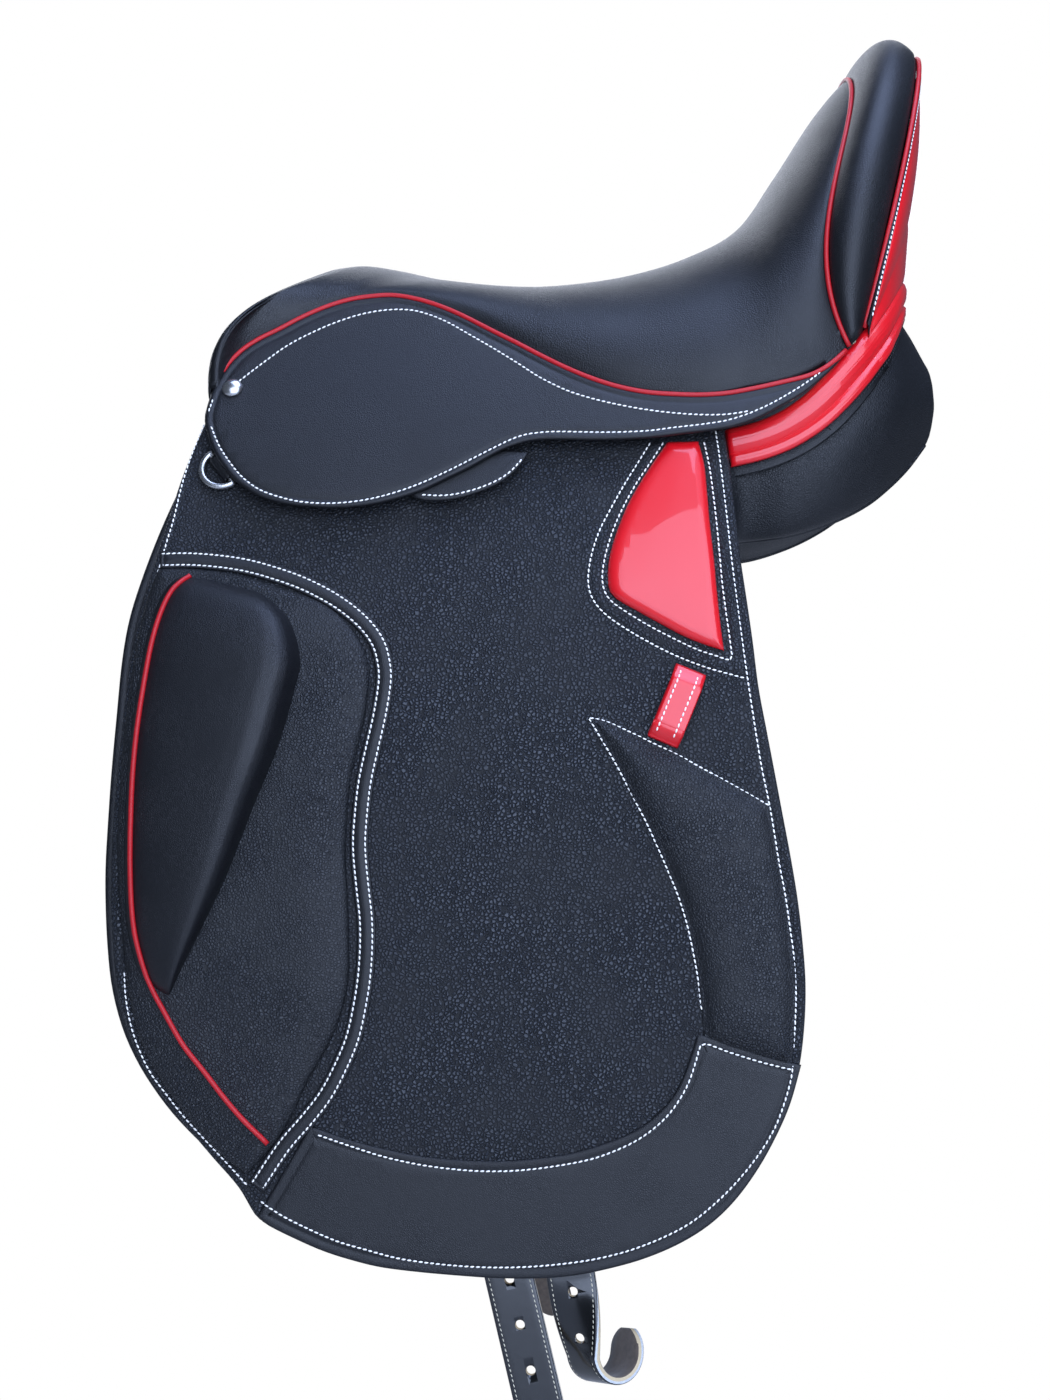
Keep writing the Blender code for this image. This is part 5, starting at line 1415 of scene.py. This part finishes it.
# Bridle leather: black, waxed and glassy on its face
bridle, tree, sockets, place = new_material("waxed_bridle_leather", "#08090a", 0.22, Coat_Weight=0.5,
                                            Coat_Roughness=0.12)
pull = add_node(tree, "TexNoise", {"Vector": place, "Scale": per_mm(6), "Detail": 4.0})
add_node(tree, "Bump", {"Height": pull, "Distance": 0.00006}, to=sockets["Normal"])
# The cut edge: pale grey skin, its fibres darker, above a tan backing
raw_edge, tree, sockets, place = new_material("undyed_cut_edge", "#c9cdd0", 0.7)
fibre = add_node(tree, "TexNoise", {"Vector": place, "Scale": per_mm(2), "Detail": 4.0})
add_node(tree, "Mix", {0: fibre, 6: linear("#a9adb0"), 7: linear("#e3e4e2")}, 2, sockets["Base Color"],
         data_type="RGBA")
backing = new_material("tan_backing_edge", "#cbb793", 0.8)[0]
# Flesh side: brushed brown suede
flesh, tree, sockets, place = new_material("brown_flesh_side", "#54483f", 0.9, Sheen_Weight=0.3)
nap = add_node(tree, "TexNoise", {"Vector": place, "Scale": per_mm(3), "Detail": 5.0})
add_node(tree, "Mix", {0: nap, 6: linear("#3a322c"), 7: linear("#6d6054")}, 2, sockets["Base Color"],
         data_type="RGBA")
add_node(tree, "Bump", {"Height": nap, "Distance": 0.00015}, to=sockets["Normal"])
# Linen thread, left undyed
cream = new_material("cream_linen_thread", "#d8cfb4", 0.55)[0]

# Round the strap's section from the middle of its face: share of half its width, share of half its thickness
STRAP_SECTION = (
    (-0.90, 1.0), (-0.6, 1.0), (-0.2, 1.0), (0.2, 1.0), (0.6, 1.0), (0.90, 1.0), (0.97, 0.93), (1.0, 0.72),
    (1.0, 0.10), (1.0, -0.05), (1.0, -0.80), (0.97, -1.0), (0.5, -1.0), (0.0, -1.0), (-0.5, -1.0),
    (-0.97, -1.0), (-1.0, -0.80), (-1.0, -0.05), (-1.0, 0.10), (-1.0, 0.72), (-0.97, 0.93),
)


def strap_frames(top_x, top_y, lean, length, twisted, holes, side):
    """Along a billet: its middle, the way it faces, the way across it, and the share of its full width.

    Its holes' middles and the way they are punched come with it."""
    top = Vector((top_x, side * top_y, BILLET_TOP_Z))
    slope = SLOPES[0]
    along = Vector((lean, side * (SPREAD * lean - slope), -1.0)).normalized()
    out = Vector((-SPREAD, side, -slope)).normalized()
    across = out.cross(along).normalized()
    frames = [(top - along * BILLET_W / 2 * math.sin(a), out, across, math.cos(a))
              for a in np.radians((84, 75, 60, 42, 20, 0))]
    straight = length - twisted
    frames += [(top + along * straight * s, out, across, 1.0) for s in np.linspace(0, 1, 60)[1:]]
    spot, normal = top + along * straight, out
    holes_at = [top + along * (HOLE_FROM + HOLE_PITCH * i) for i in range(holes)]
    if twisted:
        twist = Matrix.Rotation(-side * CURL_TWIST / TWIST_STEPS, 3, along)
        for _ in range(TWIST_STEPS):
            spot = spot + along * twisted / TWIST_STEPS
            normal, across = twist @ normal, twist @ across
            frames.append((spot, normal, across, 1.0))
        bend = CURL_TURN / CURL_STEPS
        for _ in range(CURL_STEPS):
            half = (along * math.cos(bend / 2) - normal * math.sin(bend / 2)).normalized()
            spot = spot + half * 2 * CURL_R * math.sin(bend / 2)
            along, normal = ((along * math.cos(bend) - normal * math.sin(bend)).normalized(),
                             (normal * math.cos(bend) + along * math.sin(bend)).normalized())
            frames.append((spot, normal, across, 1.0))
    frames += [(spot + along * reach, normal, across, share) for reach, share in TIP]
    return frames, holes_at, out


def punched(strap, holes_at, out):
    """The strap's mesh with round holes punched square through it."""
    cutter = bmesh.new()
    turn = out.to_track_quat("Z", "Y").to_matrix().to_4x4()
    for spot in holes_at:
        bmesh.ops.create_cone(cutter, cap_ends=True, segments=24, radius1=HOLE_R, radius2=HOLE_R, depth=0.02,
                              matrix=Matrix.Translation(spot) @ turn)
    punch = as_object("punch", cutter)
    cut = strap.modifiers.new("holes", "BOOLEAN")
    cut.object, cut.solver = punch, "EXACT"
    whole = bpy.data.meshes.new_from_object(strap.evaluated_get(bpy.context.evaluated_depsgraph_get()))
    strap.modifiers.clear()
    bpy.data.objects.remove(punch)
    return whole


for letter, side in SIDES:
    for name, *sizes in BILLETS:
        body = f"{name}_{letter}"
        frames, holes_at, out = strap_frames(*sizes, side)
        rows, columns = len(frames) - 1, len(STRAP_SECTION)

        def strap_point(s, t):
            spot, normal, across, share = frames[round(s * rows)]
            w, h = STRAP_SECTION[round(t * columns) % columns]
            return spot + across * w * share * BILLET_W / 2 + normal * h * BILLET_T / 2

        mesh = grid_of(rows, columns, strap_point)
        bmesh.ops.remove_doubles(mesh, verts=mesh.verts[:], dist=1e-7)
        bmesh.ops.holes_fill(mesh, edges=[e for e in mesh.edges if e.is_boundary])
        strap = finish(f"{name}_strap_{letter}", mesh, bridle, body)
        for extra in (raw_edge, backing, flesh):
            strap.data.materials.append(extra)
        strap.data = punched(strap, holes_at, out)
        middle, facing = (np.array([frame[i] for frame in frames]) for i in (0, 1))
        for face in strap.data.polygons:
            gap = np.array(face.center) - middle
            near = int((gap ** 2).sum(1).argmin())
            high = float(gap[near] @ facing[near]) / (BILLET_T / 2)
            tilt = float(np.array(face.normal) @ facing[near])
            if abs(tilt) > 0.6:
                face.material_index = 0 if tilt > 0 else 3
            else:
                face.material_index = 1 if high > 0.05 else 2
        stands_for(strap, body, "billet_leather")
        for edge in (-1, 1):
            seam = [(spot + across * edge * (share * BILLET_W / 2 - BILLET_SEAM) + normal * BILLET_FACE,
                     normal) for spot, normal, across, share in frames[4:-4]]
            threaded(f"{name}_stitching_{'front' if edge * side > 0 else 'rear'}_{letter}", seam, cream, body,
                     *BILLET_STITCH)

# Extents
# The sizes of the imported model and of the dressed one, side by side.
sizes = {"cad": [list(corner) for corner in cad_box], "visual": [list(corner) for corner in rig.bounds()]}
with open("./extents.json", "w") as out:
    json.dump(sizes, out)
